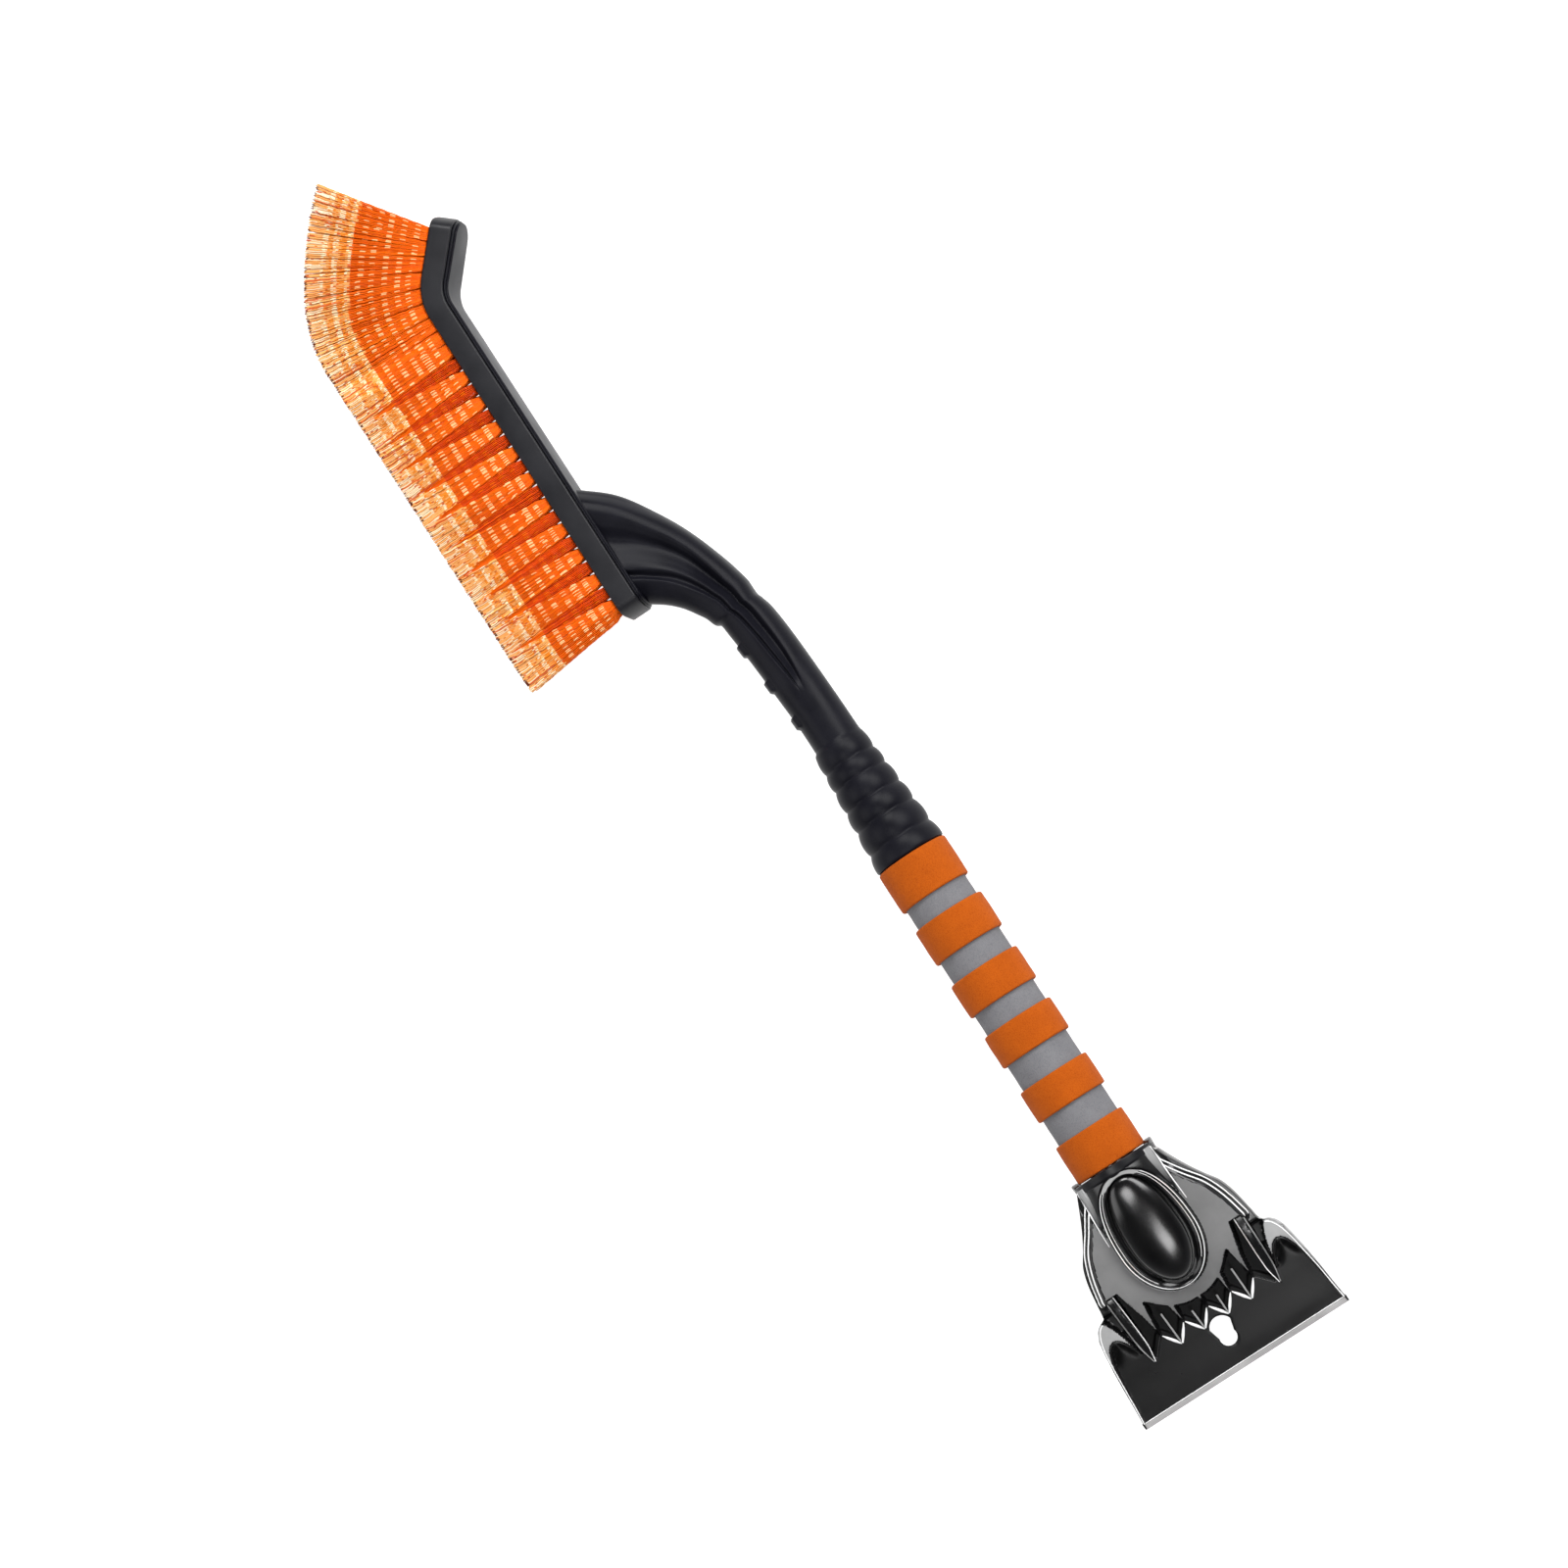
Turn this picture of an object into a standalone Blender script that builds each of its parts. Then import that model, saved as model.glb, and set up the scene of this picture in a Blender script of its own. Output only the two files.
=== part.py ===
"""Snow brush and ice scraper with a detachable brush half.

Tool coordinates, in millimetres: X runs along the handle from the scraper to the brush, Y points to the
bristle tips, Z points up, and the handle's axis is the line Y = Z = 0. The tool lies on the plane Z = -REST_DROP.
The empty tool_frame carries everything to the part's own frame, whose origin is the centre of the footprint.
"""

import math

import bmesh
import bpy
from mathutils import Matrix, Vector

for old in list(bpy.data.objects):
    bpy.data.objects.remove(old, do_unlink=True)

MM = 0.001
GAP = 0.3  # between pieces that touch

# Footprint centre and resting height of the handle's axis
FRAME_X, FRAME_Y = 347.336, 25.061
REST_DROP = 20.0

# Handle
TUBE_R, TUBE_BORE_R = 13.5, 12.0
TUBE_X0, TUBE_X1 = 112.6, 279.0
SLEEVE_R, SLEEVE_BORE_R = 15.7, 13.8
SLEEVE_X0, SLEEVE_X1 = 112.7, 279.0
BAND_R, BAND_BORE_R = 17.7, 16.0
BANDS = ((112.7, 132.2), (145.5, 161.5), (174.8, 191.2), (201.9, 218.9), (230.3, 248.4), (258.5, 279.0))

# Scraper head, drawn from its own cutting edge and then fitted to the handle: start and length scale along X
SCRAPER_X, SCRAPER_SCALE = 3.9, 0.979
EDGE_STRIP_X = 2.6
COLLAR_X0, COLLAR_X1, COLLAR_R = 105.8, 110.7, 21.0
COLLAR_FLAT = 0.9  # the collar is lower than it is wide
SHANK_R, SHANK_X1 = 11.7, 150.0
HANG_HOLE = ((20.9, 5.8), (15.9, 4.2))  # centre X and radius of the two arcs
DOME_X0, DOME_X1, DOME_HALF = 50.4, 104.0, 13.4
RIM_X0, RIM_X1, RIM_HALF = 45.7, 105.6, 19.0

# Coupling between the halves
SPIGOT_R, SPIGOT_BORE_R = 11.7, 7.5
SPIGOT_X0, SPIGOT_X1 = 209.0, 306.0
JOURNAL_X0, JOURNAL_X1, JOURNAL_R, JOURNAL_OFFSET = 213.0, 235.0, 7.4, 0.5
LOCK_R, LOCK_BORE_R = 11.75, 8.3
SOCKET_R, SOCKET_X1 = 12.0, 306.6
COUPLING_X = 245.0  # where the two joint frames stand on the handle's axis

# Brush arm
NECK_X0, NECK_X1 = 279.4, 341.0
RIB_VALLEYS = (276.6, 288.7, 300.7, 311.1, 321.9, 330.7, 341.0)
NECK_R0, NECK_R1 = 17.8, 12.9
RIB_DEPTH0, RIB_DEPTH1 = 1.5, 1.0

# Brush head
HEAD_X0 = 441.5
BACK_Y, SEAM_Y, FACE_Y = 37.7, 39.5, 50.1
BEND_X, BEND_RADIUS, BEND_DEG = 609.1, 28.0, 42.0
TIP_RUN = 28.0
BLOCK_HALF, BLOCK_TIP_HALF = 16.0, 15.0
COVER_HALF, COVER_TIP_HALF = 14.0, 10.0
END_RUN = 7.0  # length over which the head's ends are rounded
BRISTLE_LENGTH = 54.2
ROW_ROOT_Z = (-12.0, -4.0, 4.0, 12.0)
ROW_TIP_Z = (-17.0, -5.7, 5.7, 17.0)
ROW_ROOT_HALF, ROW_TIP_HALF = 2.6, 3.0
SCREW_X = (524.0, 560.0, 596.0)


# ---------------------------------------------------------------- frames
def empty(name, at, parent=None):
    made = bpy.data.objects.new(name, None)
    made.empty_display_size = 0.03
    made.location = Vector(at) * MM
    made.parent = parent
    bpy.context.collection.objects.link(made)
    return made


tool_frame = empty("tool_frame", (-FRAME_X, -FRAME_Y, REST_DROP))
pull_axis = empty("pull_axis", (COUPLING_X, 0, 0), tool_frame)
twist_axis = empty("twist_axis", (0, 0, 0), pull_axis)
ORIGIN = {tool_frame: Vector((0, 0, 0)), pull_axis: Vector((COUPLING_X, 0, 0)), twist_axis: Vector((COUPLING_X, 0, 0))}


def material(name, rgb, roughness, metallic=0.0, coat=0.0):
    made = bpy.data.materials.new(name)
    made.use_nodes = True
    shader = made.node_tree.nodes["Principled BSDF"]
    shader.inputs["Base Color"].default_value = (*rgb, 1.0)
    shader.inputs["Roughness"].default_value = roughness
    shader.inputs["Metallic"].default_value = metallic
    shader.inputs["Coat Weight"].default_value = coat
    made.diffuse_color = (*rgb, 1.0)
    return made


ORANGE_FOAM = material("orange_foam", (0.66, 0.13, 0.008), 0.85)
GREY_FOAM = material("grey_foam", (0.27, 0.27, 0.29), 0.9)
GLOSS_BLACK = material("gloss_black", (0.02, 0.02, 0.022), 0.22, coat=0.3)
DOME_BLACK = material("dome_black", (0.012, 0.012, 0.013), 0.12, coat=0.6)
EDGE_GREY = material("edge_grey", (0.42, 0.41, 0.41), 0.35)
MATT_BLACK = material("matt_black", (0.027, 0.027, 0.031), 0.5)
BLOCK_BLACK = material("block_black", (0.03, 0.03, 0.034), 0.45)
BRISTLE_ORANGE = material("bristle_orange", (1.0, 0.14, 0.008), 0.5)
TUBE_METAL = material("tube_aluminium", (0.72, 0.73, 0.75), 0.35, 1.0)
SCREW_STEEL = material("screw_steel", (0.55, 0.55, 0.57), 0.35, 1.0)
SCREW_BLACK = material("screw_black", (0.04, 0.04, 0.042), 0.4, 1.0)
NYLON = material("natural_nylon", (0.75, 0.73, 0.66), 0.45)
SPIGOT_BLACK = material("spigot_black", (0.035, 0.035, 0.038), 0.4)


fit = Matrix.Identity(4)  # set while the scraper head is drawn


def finish(name, bm, surface, frame=tool_frame, helper=False, smooth=30.0):
    """Closes a bmesh in tool millimetres into an object under the given frame."""
    bmesh.ops.transform(bm, matrix=fit, verts=bm.verts)
    bmesh.ops.remove_doubles(bm, verts=bm.verts, dist=1e-4)
    bmesh.ops.dissolve_degenerate(bm, edges=bm.edges, dist=1e-5)
    bmesh.ops.recalc_face_normals(bm, faces=bm.faces)
    bmesh.ops.transform(bm, matrix=Matrix.Scale(MM, 4) @ Matrix.Translation(-ORIGIN[frame]), verts=bm.verts)
    mesh = bpy.data.meshes.new(name)
    bm.to_mesh(mesh)
    bm.free()
    mesh.shade_smooth()
    mesh.set_sharp_from_angle(angle=math.radians(smooth))
    made = bpy.data.objects.new(name, mesh)
    made.parent = frame
    bpy.context.collection.objects.link(made)
    if helper:
        made.hide_render = True
        made.display_type = "WIRE"
    else:
        mesh.materials.append(surface)
    return made


def combine(target, kind, *others):
    for other in others:
        modifier = target.modifiers.new(kind.lower() + "_" + other.name, "BOOLEAN")
        modifier.operation = kind
        modifier.solver = "EXACT"
        modifier.object = other
    return target


# ---------------------------------------------------------------- shapes
def turned(name, profile, surface=None, frame=tool_frame, steps=28, centre=(0.0, 0.0), helper=False):
    """A closed profile of (x, radius) points spun round the X direction through (y, z) = centre."""
    bm = bmesh.new()
    corners = [bm.verts.new((x, centre[0], centre[1] + r)) for x, r in profile]
    pairs = [(i, (i + 1) % len(profile)) for i in range(len(profile))]
    edges = [bm.edges.new((corners[i], corners[j])) for i, j in pairs if profile[i][1] + profile[j][1] > 1e-6]
    bmesh.ops.spin(
        bm,
        geom=corners + edges,
        cent=(0, centre[0], centre[1]),
        axis=(1, 0, 0),
        angle=math.tau,
        steps=steps,
        use_merge=True,
    )
    return finish(name, bm, surface, frame, helper)


def rod(name, start, end, radius, surface=None, frame=tool_frame, steps=24, helper=False, end_radius=None):
    """A cylinder between two points, or a cone if its end has another radius."""
    start, end = Vector(start), Vector(end)
    bm = bmesh.new()
    bmesh.ops.create_cone(
        bm,
        cap_ends=True,
        segments=steps,
        radius1=radius,
        radius2=radius if end_radius is None else end_radius,
        depth=(end - start).length,
        matrix=Matrix.Translation((start + end) / 2) @ (end - start).to_track_quat("Z", "Y").to_matrix().to_4x4(),
    )
    return finish(name, bm, surface, frame, helper)


def prism(name, outline, low, high, axis="Z", surface=None, frame=tool_frame, helper=True):
    """An outline extruded along Z, from (x, y) points, or along Y, from (x, z) points."""
    bm = bmesh.new()
    place = (lambda p, h: (p[0], p[1], h)) if axis == "Z" else (lambda p, h: (p[0], h, p[1]))
    face = bm.faces.new([bm.verts.new(place(p, low)) for p in outline])
    grown = bmesh.ops.extrude_face_region(bm, geom=[face])
    lift = (0, 0, high - low) if axis == "Z" else (0, high - low, 0)
    bmesh.ops.translate(bm, vec=lift, verts=[g for g in grown["geom"] if isinstance(g, bmesh.types.BMVert)])
    return finish(name, bm, surface, frame, helper)


def loft(name, rings, surface=None, frame=tool_frame, helper=False, smooth=30.0):
    """Skins equal rings of points and closes both ends."""
    bm = bmesh.new()
    loops = [[bm.verts.new(p) for p in ring] for ring in rings]
    count = len(loops[0])
    for a, b in zip(loops, loops[1:]):
        for i in range(count):
            j = (i + 1) % count
            bm.faces.new((a[i], a[j], b[j], b[i]))
    bm.faces.new(loops[0][::-1])
    bm.faces.new(loops[-1])
    return finish(name, bm, surface, frame, helper, smooth)


def mirrored(half):
    """A half outline of (x, y) points, y > 0, closed with its mirror image."""
    return [(x, y) for x, y in half] + [(x, -y) for x, y in reversed(half) if y > 1e-6]


def ellipse(x0, x1, half, widest=0.5, count=40):
    """An egg in the XY plane between x0 and x1 with its greatest half width at the given fraction."""
    middle = x0 + (x1 - x0) * widest
    points = []
    for i in range(count):
        a = math.tau * i / count
        reach = (x1 - middle) if math.cos(a) > 0 else (middle - x0)
        points.append((middle + reach * math.cos(a), half * math.sin(a)))
    return points


def line(points, x):
    """Height on a broken line of (x, value) points."""
    for (xa, va), (xb, vb) in zip(points, points[1:]):
        if x <= xb:
            return va + (vb - va) * max(0.0, x - xa) / (xb - xa)
    return points[-1][1]


# ---------------------------------------------------------------- handle
def ring_profile(x0, x1, inner, outer, rounding=0.0):
    if rounding == 0.0:
        return [(x0, inner), (x0, outer), (x1, outer), (x1, inner)]
    r = rounding
    soft = [(x0 + r * (1 - math.cos(a)), outer - r * (1 - math.sin(a))) for a in (0.0, math.pi / 4, math.pi / 2)]
    return [(x0, inner)] + soft + [(x0 + x1 - x, y) for x, y in reversed(soft)] + [(x1, inner)]


turned("handle_tube", ring_profile(TUBE_X0, TUBE_X1, TUBE_BORE_R, TUBE_R), TUBE_METAL)
turned("foam_sleeve", ring_profile(SLEEVE_X0, SLEEVE_X1, SLEEVE_BORE_R, SLEEVE_R), GREY_FOAM)
for index, (x0, x1) in enumerate(BANDS, 1):
    turned(f"foam_band_{index}", ring_profile(x0, x1, BAND_BORE_R, BAND_R, 1.5), ORANGE_FOAM)

# Two cross pins go through the tube and the scraper's shank, under the foam.
for index, x in enumerate((122.0, 139.0), 1):
    rod(f"shank_pin_{index}", (x, 0, -13.3), (x, 0, 13.3), 1.6, SCREW_STEEL, steps=16)
    hole = rod(f"shank_pin_hole_{index}", (x, 0, -30), (x, 0, 30), 1.9, steps=16, helper=True)
    combine(bpy.data.objects["handle_tube"], "DIFFERENCE", hole)

# ---------------------------------------------------------------- scraper head
fit = Matrix.Translation((SCRAPER_X, 0, 0)) @ Matrix.Diagonal((SCRAPER_SCALE, 1.0, 1.0, 1.0))
BLADE_TOP = [(0.0, -18.4), (2.6, -17.4), (70.0, -2.6)]
DECK_TOP = [(24.0, -11.6), (33.0, -5.6), (45.0, 0.0), (60.0, 3.8), (85.0, 9.4), (108.0, 14.5)]


def blade_z(x):
    return line(BLADE_TOP, x)


def deck_z(x):
    return line(DECK_TOP, x)


OUTER = [(0.0, 54.6), (10.0, 53.6), (20.0, 52.8), (30.0, 51.7), (40.0, 50.2), (46.0, 49.2), (50.0, 48.2)]
LOBE = [(53.5, 42.0), (60.0, 40.7), (70.0, 39.0), (78.0, 36.5), (85.0, 32.0), (92.0, 27.8), (100.0, 23.7), (107.0, 20.4)]
DECK_EDGE = [(100.0, 17.0), (97.0, 19.0), (90.0, 23.5), (80.0, 30.3), (70.0, 34.0), (60.0, 36.2)]
SPUR_EDGE = [
    (60.0, 30.3), (50.0, 28.0), (45.0, 26.5), (33.0, 25.0), (33.0, 24.6), (42.0, 23.4), (50.2, 22.2), (46.5, 18.2),
    (42.5, 13.6), (33.0, 12.7), (33.0, 12.3), (41.0, 11.3), (39.3, 6.5), (38.8, 0.6), (33.0, 0.2),
]  # fmt: skip

# Blade: a plate that climbs from the edge, cut to the flared outline, with the strip's seat cut off its front.
plate_side = prism(
    "plate_side",
    [(EDGE_STRIP_X + GAP, blade_z(2.9)), (84.0, blade_z(70.0) + 0.5), (84.0, -9.0), (12.0, -18.0), (5.0, -REST_DROP), (EDGE_STRIP_X + GAP, -REST_DROP)],
    -60.0,
    60.0,
    "Y",
)
scraper = prism("scraper_body", mirrored(OUTER + LOBE[:4] + [(84.0, 33.0)]), -40.0, 40.0, surface=GLOSS_BLACK, helper=False)
combine(scraper, "INTERSECT", plate_side)

# Core: from the blade up to the deck and back to the collar.
core_side = prism(
    "core_side",
    [(x, z) for x, z in DECK_TOP] + [(108.0, -16.5), (96.0, -15.5), (80.0, -12.4), (60.0, -10.6), (24.0, -15.4)],
    -60.0,
    60.0,
    "Y",
)
core = prism("core", mirrored([(107.5, 16.0)] + DECK_EDGE + SPUR_EDGE), -40.0, 40.0)
combine(core, "INTERSECT", core_side)

# Flanks: the lower shoulders outside the deck's rails.
flank_side = prism(
    "flank_side",
    [(50.0, -2.5), (60.0, 0.2), (85.0, 6.4), (107.0, 11.8), (107.0, -14.4), (80.0, -12.0), (50.0, -12.2)],
    -60.0,
    60.0,
    "Y",
)
flank = prism("flank", mirrored([(107.0, 19.8)] + LOBE[:-1][::-1] + [(53.5, 37.2), (60.0, 37.2), (60.0, 20.0)]), -40.0, 40.0)
combine(flank, "INTERSECT", flank_side)
combine(scraper, "UNION", core, flank)

# Ears: a hood at each side of the blade, open towards the edge.
EAR = [
    (31.0, 36.6), (40.0, 38.0), (47.0, 39.6), (53.4, 43.4), (52.6, 46.4), (48.0, 49.0), (40.0, 50.3), (30.0, 51.7), (20.0, 52.8), (10.0, 53.6), (2.9, 54.3),
    (2.9, 53.2), (10.0, 52.5), (20.0, 51.5), (30.0, 50.2), (35.0, 49.4), (40.0, 47.4), (42.4, 44.6), (41.0, 41.6), (36.5, 38.4),
]  # fmt: skip
ear_side = prism(
    "ear_side",
    [(2.9, -16.4), (20.0, -11.4), (34.0, -4.4), (44.0, -0.8), (54.0, 0.8), (54.0, -12.4), (20.0, -16.6), (2.9, -19.5)],
    -60.0,
    60.0,
    "Y",
)
for side, sign in (("left", 1), ("right", -1)):
    ear = prism(f"ear_{side}", [(x, sign * y) for x, y in EAR], -40.0, 40.0)
    combine(ear, "INTERSECT", ear_side)
    combine(scraper, "UNION", ear)
    fin_side = prism(
        f"fin_side_{side}", [(24.7, -12.0), (60.0, 2.0), (60.0, -12.0), (24.7, -15.4)], min(sign * 30, sign * 38), max(sign * 30, sign * 38), "Y"
    )
    fin = prism(f"side_fin_{side}", [(24.7, sign * 33.3), (34.0, sign * 32.0), (60.2, sign * 33.4), (60.2, sign * 36.8), (34.0, sign * 35.8)], -40, 40)
    combine(fin, "INTERSECT", fin_side)
    combine(scraper, "UNION", fin)

# Low chevron ribs close the pockets between the spurs.
for centre in (-18.7, -6.4, 6.4, 18.7):
    rib = prism(
        f"chevron_{int(centre * 10)}".replace("-", "m"),
        [(24.6, centre), (33.4, centre - 6.0), (33.4, centre - 4.7), (27.0, centre), (33.4, centre + 4.7), (33.4, centre + 6.0)],
        -14.6,
        -8.4,
    )
    combine(scraper, "UNION", rib)

# Collar and shank
collar = turned("collar", [(COLLAR_X0 - 4, 0), (COLLAR_X0 - 4, COLLAR_R - 3.5), (COLLAR_X0, COLLAR_R), (COLLAR_X1, COLLAR_R), (COLLAR_X1, 0)], helper=True)
collar.scale.z = COLLAR_FLAT
shank = turned("shank", [(COLLAR_X0, 0), (COLLAR_X0, SHANK_R), (SHANK_X1 - 1.5, SHANK_R), (SHANK_X1, SHANK_R - 1.5), (SHANK_X1, 0)], helper=True)
combine(scraper, "UNION", collar, shank)
for index in (1, 2):
    combine(scraper, "DIFFERENCE", bpy.data.objects[f"shank_pin_hole_{index}"])

# Oval rim round the thumb rest: it stands on the deck and follows its slope.
rim_outer = prism("rim_outer", ellipse(RIM_X0, RIM_X1, RIM_HALF, 0.42), -40.0, 40.0)
rim_side = prism(
    "rim_side",
    [(44.0, -5.0), (46.0, 2.6), (60.0, 7.8), (85.0, 14.4), (100.0, 17.6), (107.0, 17.8), (107.0, 0.0)],
    -60.0,
    60.0,
    "Y",
)
combine(rim_outer, "INTERSECT", rim_side)
combine(scraper, "UNION", rim_outer)
DOME_FLOOR = [(49.0, 2.2), (105.0, 14.0)]
recess = prism("dome_recess", ellipse(DOME_X0, DOME_X1, DOME_HALF, 0.42), -40.0, 40.0)
recess_side = prism("dome_recess_side", DOME_FLOOR + [(105.0, 40.0), (49.0, 40.0)], -60.0, 60.0, "Y")
combine(recess, "INTERSECT", recess_side)
combine(scraper, "DIFFERENCE", recess)

# Hang hole: an egg made of two arcs and their tangents.
hole_outline = []
(far_x, far_r), (near_x, near_r) = HANG_HOLE
spread = math.acos((far_r - near_r) / (far_x - near_x))
for i in range(17):
    a = -spread + 2 * spread * i / 16
    hole_outline.append((far_x - far_r * math.cos(math.pi - a), far_r * math.sin(a)))
for i in range(13):
    a = spread + (math.tau - 2 * spread) * i / 12
    hole_outline.append((near_x + near_r * math.cos(a), near_r * math.sin(a)))
combine(scraper, "DIFFERENCE", prism("hang_hole", hole_outline, -40.0, 0.0))

# Edge strip: a separate light strip along the cutting edge, with a flat land underneath.
prism(
    "edge_strip",
    [(0.0, -18.9), (EDGE_STRIP_X, -17.5), (EDGE_STRIP_X, -REST_DROP), (0.0, -REST_DROP)],
    -53.9,
    53.9,
    "Y",
    EDGE_GREY,
    helper=False,
)

# Thumb rest: a low dome that fills the oval recess, built ring by ring.
bm = bmesh.new()
rings = []
base = ellipse(DOME_X0 + GAP, DOME_X1 - GAP, DOME_HALF - GAP, 0.42, 32)
centre_x = 74.0


def dome_floor(x):
    return line(DOME_FLOOR, x) + GAP


def dome_top(x, y, share):
    return dome_floor(x) + 2.6 + 5.0 * math.sqrt(max(0.0, 1.0 - share * share))


low = [bm.verts.new((x, y, dome_floor(x))) for x, y in base]
for share in (1.0, 0.92, 0.78, 0.58, 0.32):
    ring = []
    for x, y in base:
        px, py = centre_x + (x - centre_x) * share, y * share
        ring.append(bm.verts.new((px, py, dome_top(px, py, share))))
    rings.append(ring)
peak = bm.verts.new((centre_x, 0.0, dome_top(centre_x, 0.0, 0.0)))
count = len(low)
for i in range(count):
    j = (i + 1) % count
    bm.faces.new((low[i], low[j], rings[0][j], rings[0][i]))
    for a, b in zip(rings, rings[1:]):
        bm.faces.new((a[i], a[j], b[j], b[i]))
    bm.faces.new((rings[-1][i], rings[-1][j], peak))
bm.faces.new(low[::-1])
finish("thumb_rest", bm, DOME_BLACK)


# ---------------------------------------------------------------- brush arm
fit = Matrix.Identity(4)


def rib_radius(x):
    """Radius of the ribbed neck: rounded crests with narrow valleys, fading towards the arm."""
    share = (x - NECK_X0) / (NECK_X1 - NECK_X0)
    crest = NECK_R0 + (NECK_R1 - NECK_R0) * share
    depth = RIB_DEPTH0 + (RIB_DEPTH1 - RIB_DEPTH0) * share
    for a, b in zip(RIB_VALLEYS, RIB_VALLEYS[1:]):
        if a <= x <= b:
            return crest - depth * (1.0 - math.sin(math.pi * (x - a) / (b - a)) ** 0.6)
    return crest - depth


# Pairs of outline points of the arm beyond the neck: bristle side, back side, and half thickness.
ARM = (
    ((341.2, 11.2), (341.2, -12.1), 11.8),
    ((352.0, 11.2), (352.0, -11.9), 11.6),
    ((374.0, 12.2), (373.0, -11.3), 11.3),
    ((396.0, 13.6), (394.0, -10.4), 11.0),
    ((410.0, 15.0), (411.0, -8.8), 11.0),
    ((418.5, 18.2), (422.5, -6.4), 11.0),
    ((426.0, 21.8), (434.0, -4.6), 11.2),
    ((431.8, 25.6), (448.5, -0.3), 11.4),
    ((436.6, 29.9), (463.0, 5.2), 11.8),
    ((439.9, 33.8), (477.5, 12.5), 12.3),
    ((441.7, 36.4), (491.5, 22.8), 12.9),
    ((443.3, 38.2), (504.3, 36.4), 13.4),
)


def section(left, right, half, power=2.4, count=28):
    """A soft oval ring that spans two outline points, half as thick as given above and below them."""
    left, right = Vector((*left, 0.0)), Vector((*right, 0.0))
    middle, arm = (left + right) / 2, (left - right) / 2
    ring = []
    for i in range(count):
        a = math.tau * i / count
        c, s = math.cos(a), math.sin(a)
        u = math.copysign(abs(c) ** (2 / power), c)
        v = math.copysign(abs(s) ** (2 / power), s)
        ring.append(middle + arm * u + Vector((0, 0, half * v)))
    return ring


rings = []
for x0, x1 in zip(RIB_VALLEYS, RIB_VALLEYS[1:]):
    for share in (0.0, 0.12, 0.5, 0.88):
        x = max(NECK_X0, x0 + (x1 - x0) * share)
        if rings and x - rings[-1][0].x < 0.4:
            continue
        r = rib_radius(x)
        rings.append(section((x, r), (x, -r), r, 2.0))
for left, right, half in ARM:
    rings.append(section(left, right, half, 2.0 + 0.4 * min(1.0, (left[0] - 341.0) / 60.0)))
arm = loft("brush_arm", rings, MATT_BLACK, twist_axis, smooth=40.0)

# Finger pads on the bristle side of the arm
for index, (x, y) in enumerate(((358.5, 12.7), (379.2, 13.8), (400.0, 15.2)), 1):
    tilt = math.radians(2.5)
    pad = prism(
        f"finger_pad_{index}",
        [(x - 3.6, y - 5.0), (x + 3.6, y - 5.0), (x + 3.6, y - 1.4), (x + 2.8, y + 0.1), (x - 2.6, y - 0.1), (x - 3.6, y - 1.5)],
        -6.0,
        6.0,
        frame=twist_axis,
    )
    combine(arm, "UNION", pad)


def head_point(s, out):
    """A point of the head at arc length s along the bristle face, out millimetres from that face, and its normal."""
    straight = BEND_X - HEAD_X0
    bend = math.radians(BEND_DEG)
    arc = BEND_RADIUS * bend
    if s <= straight:
        return Vector((HEAD_X0 + s, FACE_Y + out, 0.0)), 0.0
    centre = Vector((BEND_X, FACE_Y - BEND_RADIUS, 0.0))
    if s <= straight + arc:
        a = (s - straight) / BEND_RADIUS
        return centre + (BEND_RADIUS + out) * Vector((math.sin(a), math.cos(a), 0.0)), a
    run = s - straight - arc
    normal = Vector((math.sin(bend), math.cos(bend), 0.0))
    along = Vector((math.cos(bend), -math.sin(bend), 0.0))
    return centre + (BEND_RADIUS + out) * normal + along * run, bend


HEAD_LENGTH = (BEND_X - HEAD_X0) + BEND_RADIUS * math.radians(BEND_DEG) + TIP_RUN


def head_slab(name, half, inner, outer, inset, surface, helper=False, tip_half=None):
    """A slab that follows the head between two offsets from the bristle face, with rounded ends."""
    tip_half = tip_half or half
    stops = [inset + END_RUN * (1 - math.cos(math.pi / 2 * i / 7)) for i in range(8)]
    stops += [inset + END_RUN + (BEND_X - HEAD_X0 - inset - END_RUN) * i / 4 for i in range(1, 5)]
    stops += [BEND_X - HEAD_X0 + BEND_RADIUS * math.radians(BEND_DEG) * i / 6 for i in range(1, 7)]
    stops += [HEAD_LENGTH - inset - END_RUN * (1 - math.cos(math.pi / 2 * i / 7)) for i in range(7, -1, -1)]
    rings = []
    for s in stops:
        near = min(s - inset, HEAD_LENGTH - inset - s)
        width = half + (tip_half - half) * max(0.0, (s - 150.0) / (HEAD_LENGTH - 150.0))
        if near < END_RUN:
            width = 1.5 + (width - 1.5) * math.sqrt(max(0.0, 1 - (1 - near / END_RUN) ** 2))
        low, _ = head_point(s, inner)
        high, _ = head_point(s, outer)
        up = Vector((0, 0, width))
        rings.append([low - up, high - up, high + up, low + up])
    return loft(name, rings, surface, twist_axis, helper)


cover = head_slab("back_cover", COVER_HALF, BACK_Y - FACE_Y, SEAM_Y - GAP - FACE_Y, 1.2, None, helper=True, tip_half=COVER_TIP_HALF)
combine(arm, "UNION", cover)
socket = rod("coupling_socket", (270.0, 0, 0), (SOCKET_X1, 0, 0), SOCKET_R, frame=twist_axis, steps=32, helper=True)
combine(arm, "DIFFERENCE", socket)

# Screw that fixes the spigot, from below, through the first valley of the neck
screw_seat = rod("spigot_screw_hole", (295.0, 0, -30.0), (295.0, 0, -5.0), 1.9, frame=twist_axis, steps=16, helper=True)
head_seat = rod("spigot_screw_counterbore", (295.0, 0, -30.0), (295.0, 0, -14.6), 3.6, frame=twist_axis, steps=20, helper=True)
combine(arm, "DIFFERENCE", screw_seat, head_seat)


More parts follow.
